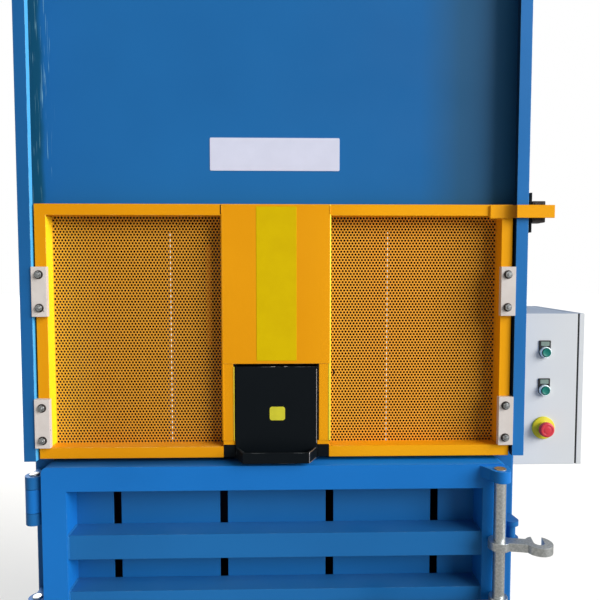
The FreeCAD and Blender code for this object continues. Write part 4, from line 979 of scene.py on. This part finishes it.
terminal_z, terminal_lid = motor_high.z - 0.170, 0.006
put("terminal_box_lid", tablet(0.114, 0.104, terminal_lid, 0.010, 0.003,
                               (motor_x, motor_low.y, terminal_z)),
    motor_enamel, "frame", 40)
screws = [turned([(0.0035, 0), (0.0035, 0.0015), (0.0025, 0.0024)],
                 (motor_x + sx * 0.046, motor_low.y - terminal_lid, terminal_z + sz * 0.041), front, 20)
          for sx in (-1, 1) for sz in (-1, 1)]
put("terminal_box_screws", together(screws), zinc, "frame", 35)

valve_low, valve_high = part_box("valve_block")
coil_z, coil_x, coil_inset = lid_top + 0.085, valve_high.x - 0.045, 0.058
coil_long, coil_square = 0.048, 0.050
plug_square, plug_high = 0.028, 0.022
coils = []
for y, way in ((valve_low.y + coil_inset, -1), (valve_high.y - coil_inset, 1)):
    coils.append(tablet(coil_square, coil_square, coil_long, 0.006, 0.003, (coil_x, y, coil_z),
                        (-way, 0, 0), up))
    coils.append(tablet(plug_square, plug_square, plug_high, 0.003, 0.002,
                        (coil_x, y + way * coil_long / 2, coil_z + coil_square / 2), (1, 0, 0),
                        (0, 1, 0)))
put("solenoid_coils", together(coils), black_plastic, "frame", 35)

cylinder_port_x = -barrel_radius - 0.012
port_low_z, port_high_z = cylinder_low.z + 0.070, cylinder_high.z - 0.085
nuts = [hex_head((valve_high.x, 0, lid_top + 0.040), (1, 0, 0), 0.036, 0.020),
        hex_head((valve_high.x - 0.030, 0, valve_high.z), up, 0.036, 0.020),
        hex_head((cylinder_port_x, 0, port_low_z), (-1, 0, 0), 0.036, 0.020),
        hex_head((cylinder_port_x, 0, port_high_z), (-1, 0, 0), 0.036, 0.020)]
put("pipe_nuts", together(nuts), galvanised, "frame", 35)

# Control box: folded sheet steel under a light grey textured powder coat. Its door shuts on a black
# foamed gasket, and a quarter-turn lock with a slotted insert holds it. Its top faces are painted a
# darker blue-grey as painted shade.
grey_powder = enamel("light_grey_powder_coat", "#d2d5d8", "#cdd0d3", "#dfe2e3", 0.52, 0.16, 0.9, 0.15)
top_painted_shade = fade(grey_powder, facing_of(grey_powder)["Z"], 0.7, 0.95, 0.8)
overpaint(grey_powder, top_painted_shade, "#8e9fb4")
dress(grey_powder, "control_box", "control_box_door")
box_low, box_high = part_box("control_box")
lid_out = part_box("control_box_door")[1].x
box_front, box_back, box_right = box_low.y, 0.0, 0.799
gasket_gap = 0.005
gasket_inset, gasket_wide = 0.0012, 0.011


def gasket_ring(x0, x1, y0, y1, z0, z1, wide):
    """A rectangular ring of square section: two rectangles, outer and inner, on two faces."""
    def rectangle(x, d):
        return [(x, y0 + d, z0 + d), (x, y1 - d, z0 + d), (x, y1 - d, z1 - d), (x, y0 + d, z1 - d)]
    points = rectangle(x0, 0) + rectangle(x1, 0) + rectangle(x1, wide) + rectangle(x0, wide)
    k = np.arange(4)
    j = (k + 1) % 4
    faces = np.concatenate([np.stack([k + 4 * a, j + 4 * a, j + 4 * b, k + 4 * b], 1)
                            for a, b in ((0, 1), (1, 2), (2, 3), (3, 0))])
    return np.array(points), faces.tolist()


put("door_gasket", gasket_ring(box_right + 0.0004, box_right + gasket_gap + 0.001,
                               box_front + gasket_inset, box_back - gasket_inset,
                               box_low.z + gasket_inset, box_high.z - gasket_inset, gasket_wide),
    rubber, "box_door")

lock_at = (lid_out - 0.0055, box_front + 0.030, (box_low.z + box_high.z) / 2)
put("box_lock", turned([(0.0095, 0), (0.0115, 0), (0.0115, 0.0030), (0.0105, 0.0042), (0.0060, 0.0046)],
                       lock_at, (1, 0, 0), 40), zinc, "box_door", 35)
put("box_lock_slot", tablet(0.0022, 0.0100, 0.0004, 0.0008, 0.0002,
                            (lock_at[0] + 0.0046, lock_at[1], lock_at[2]), (0, 1, 0), (0, 0, 1)),
    black_plastic, "box_door")
dress(galvanised, "mounting_plate")

# Push buttons: two teal green caps in bright bezels, on black legend holders whose grey
# window is bare, and a red mushroom stop button on a yellow disc without lettering.
bezel_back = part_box("button_bezels")[1].y
start_low, start_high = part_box("start_button")
reset_low, reset_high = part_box("reset_button")
holder_low, holder_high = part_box("legend_holders")
button_x = (start_low.x + start_high.x) / 2
button_levels = [(a.z + b.z) / 2 for a, b in ((start_low, start_high), (reset_low, reset_high))]


def legend_holder(x, y, z, half, above, thick):
    """A plate with a round foot about its button and a square head above it.

    Outline: a half circle of radius half below the button's height, then up both sides to
    two corners of radius 1.5 mm. Its front edge is turned in by 0.5 mm, as on a moulding.
    """
    foot = np.linspace(math.pi, 2 * math.pi, 25)
    corner = np.linspace(0, math.pi / 2, 5)
    tip = 0.0015
    outline_x = np.concatenate([half * np.cos(foot), half - tip + tip * np.cos(corner),
                                -(half - tip) - tip * np.sin(corner)])
    outline_z = np.concatenate([half * np.sin(foot), above - tip + tip * np.sin(corner),
                                above - tip + tip * np.cos(corner)])
    inset = np.array([0.0, 0.0, 0.00015, 0.0005])[:, None]
    rise = np.array([0.0, thick - 0.0005, thick - 0.00015, thick])[:, None]
    middle = (above - half) / 2
    across = outline_x * (1 - inset / half)
    up_there = middle + (outline_z - middle) * (1 - inset / (half + above) * 2)
    return loft(np.stack([x + across, y - rise + 0 * across, z + up_there], -1))


plates = [legend_holder(button_x, holder_high.y, z, 0.0155, 0.0310, holder_high.y - holder_low.y)
          for z in button_levels]
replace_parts(put("legend_holder_plates", together(plates), black_plastic, "frame", 30),
            "legend_holders")
bright_bezel = metal("satin_chromed_bezel", "#e9f5f9", "#dbe9ee", 0.46, 2.0)
bezel_profile = [(0.0148, 0), (0.0148, 0.0056), (0.0146, 0.0070), (0.0140, 0.0084), (0.0131, 0.0090),
                 (0.0121, 0.0086), (0.0118, 0.0070), (0.0118, 0.0)]
bezels = [turned(bezel_profile, (button_x, bezel_back, z), front, 56) for z in button_levels]
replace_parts(put("button_bezel_rings", together(bezels), bright_bezel, "frame", 40),
            "button_bezels")
green = plastic("teal_green_polycarbonate", "#047669", "#056c60", 0.36, 1.4, 0.04)
cap_profile = [(0.0110, 0.0062), (0.0112, 0.0100), (0.0111, 0.0138), (0.0104, 0.0145), (0.0092, 0.0143),
               (0.0078, 0.0136), (0.0040, 0.0131), (0.0010, 0.0130)]
for name, body, z, node in (("start_cap", "start_push", button_levels[0], "start_button"),
                            ("reset_cap", "reset_push", button_levels[1], "reset_button")):
    cap = put(name, turned(cap_profile, (button_x, start_high.y, z), front, 48), green, body,
              40)
    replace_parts(cap, node)
legend_grey = plastic("grey_legend_insert", "#7b8d84", "#73857c", 0.35, 1.2, 0.03)
windows = [tablet(0.0225, 0.0115, 0.0006, 0.0015, 0.0003, (holder_low.x + 0.0163, holder_low.y,
                                                           z + 0.0225)) for z in button_levels]
put("legend_windows", together(windows), legend_grey, "frame", 40)

yellow = plastic("yellow_polycarbonate", "#dbd02c", "#d5c926", 0.36, 1.4, 0.04)
ring_low, ring_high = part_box("stop_ring")
stop_z = (ring_low.z + ring_high.z) / 2
disc = [(0.0300, 0), (0.0300, 0.0048), (0.0296, 0.0056), (0.0288, 0.0060), (0.0190, 0.0062),
        (0.0178, 0.0068), (0.0172, 0.0100), (0.0166, 0.0109), (0.0150, 0.0110), (0.0136, 0.0108),
        (0.0136, 0.0)]
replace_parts(put("stop_disc", turned(disc, (button_x, ring_high.y, stop_z), front, 72), yellow,
                "frame", 35), "stop_ring")
red = plastic("red_polycarbonate", "#d13a46", "#c83440", 0.26, 1.4, 0.03)
mushroom = [(0.0128, 0), (0.0128, 0.0160), (0.0150, 0.0168), (0.0188, 0.0176), (0.0198, 0.0190),
            (0.0200, 0.0210), (0.0198, 0.0245), (0.0192, 0.0268), (0.0180, 0.0284), (0.0160, 0.0293),
            (0.0120, 0.0297), (0.0112, 0.0292), (0.0104, 0.0297), (0.0050, 0.0299), (0.0008, 0.0300)]
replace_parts(put("stop_mushroom", turned(mushroom, (button_x, ring_high.y, stop_z), front, 64), red,
                "stop_push", 40), "stop_button")
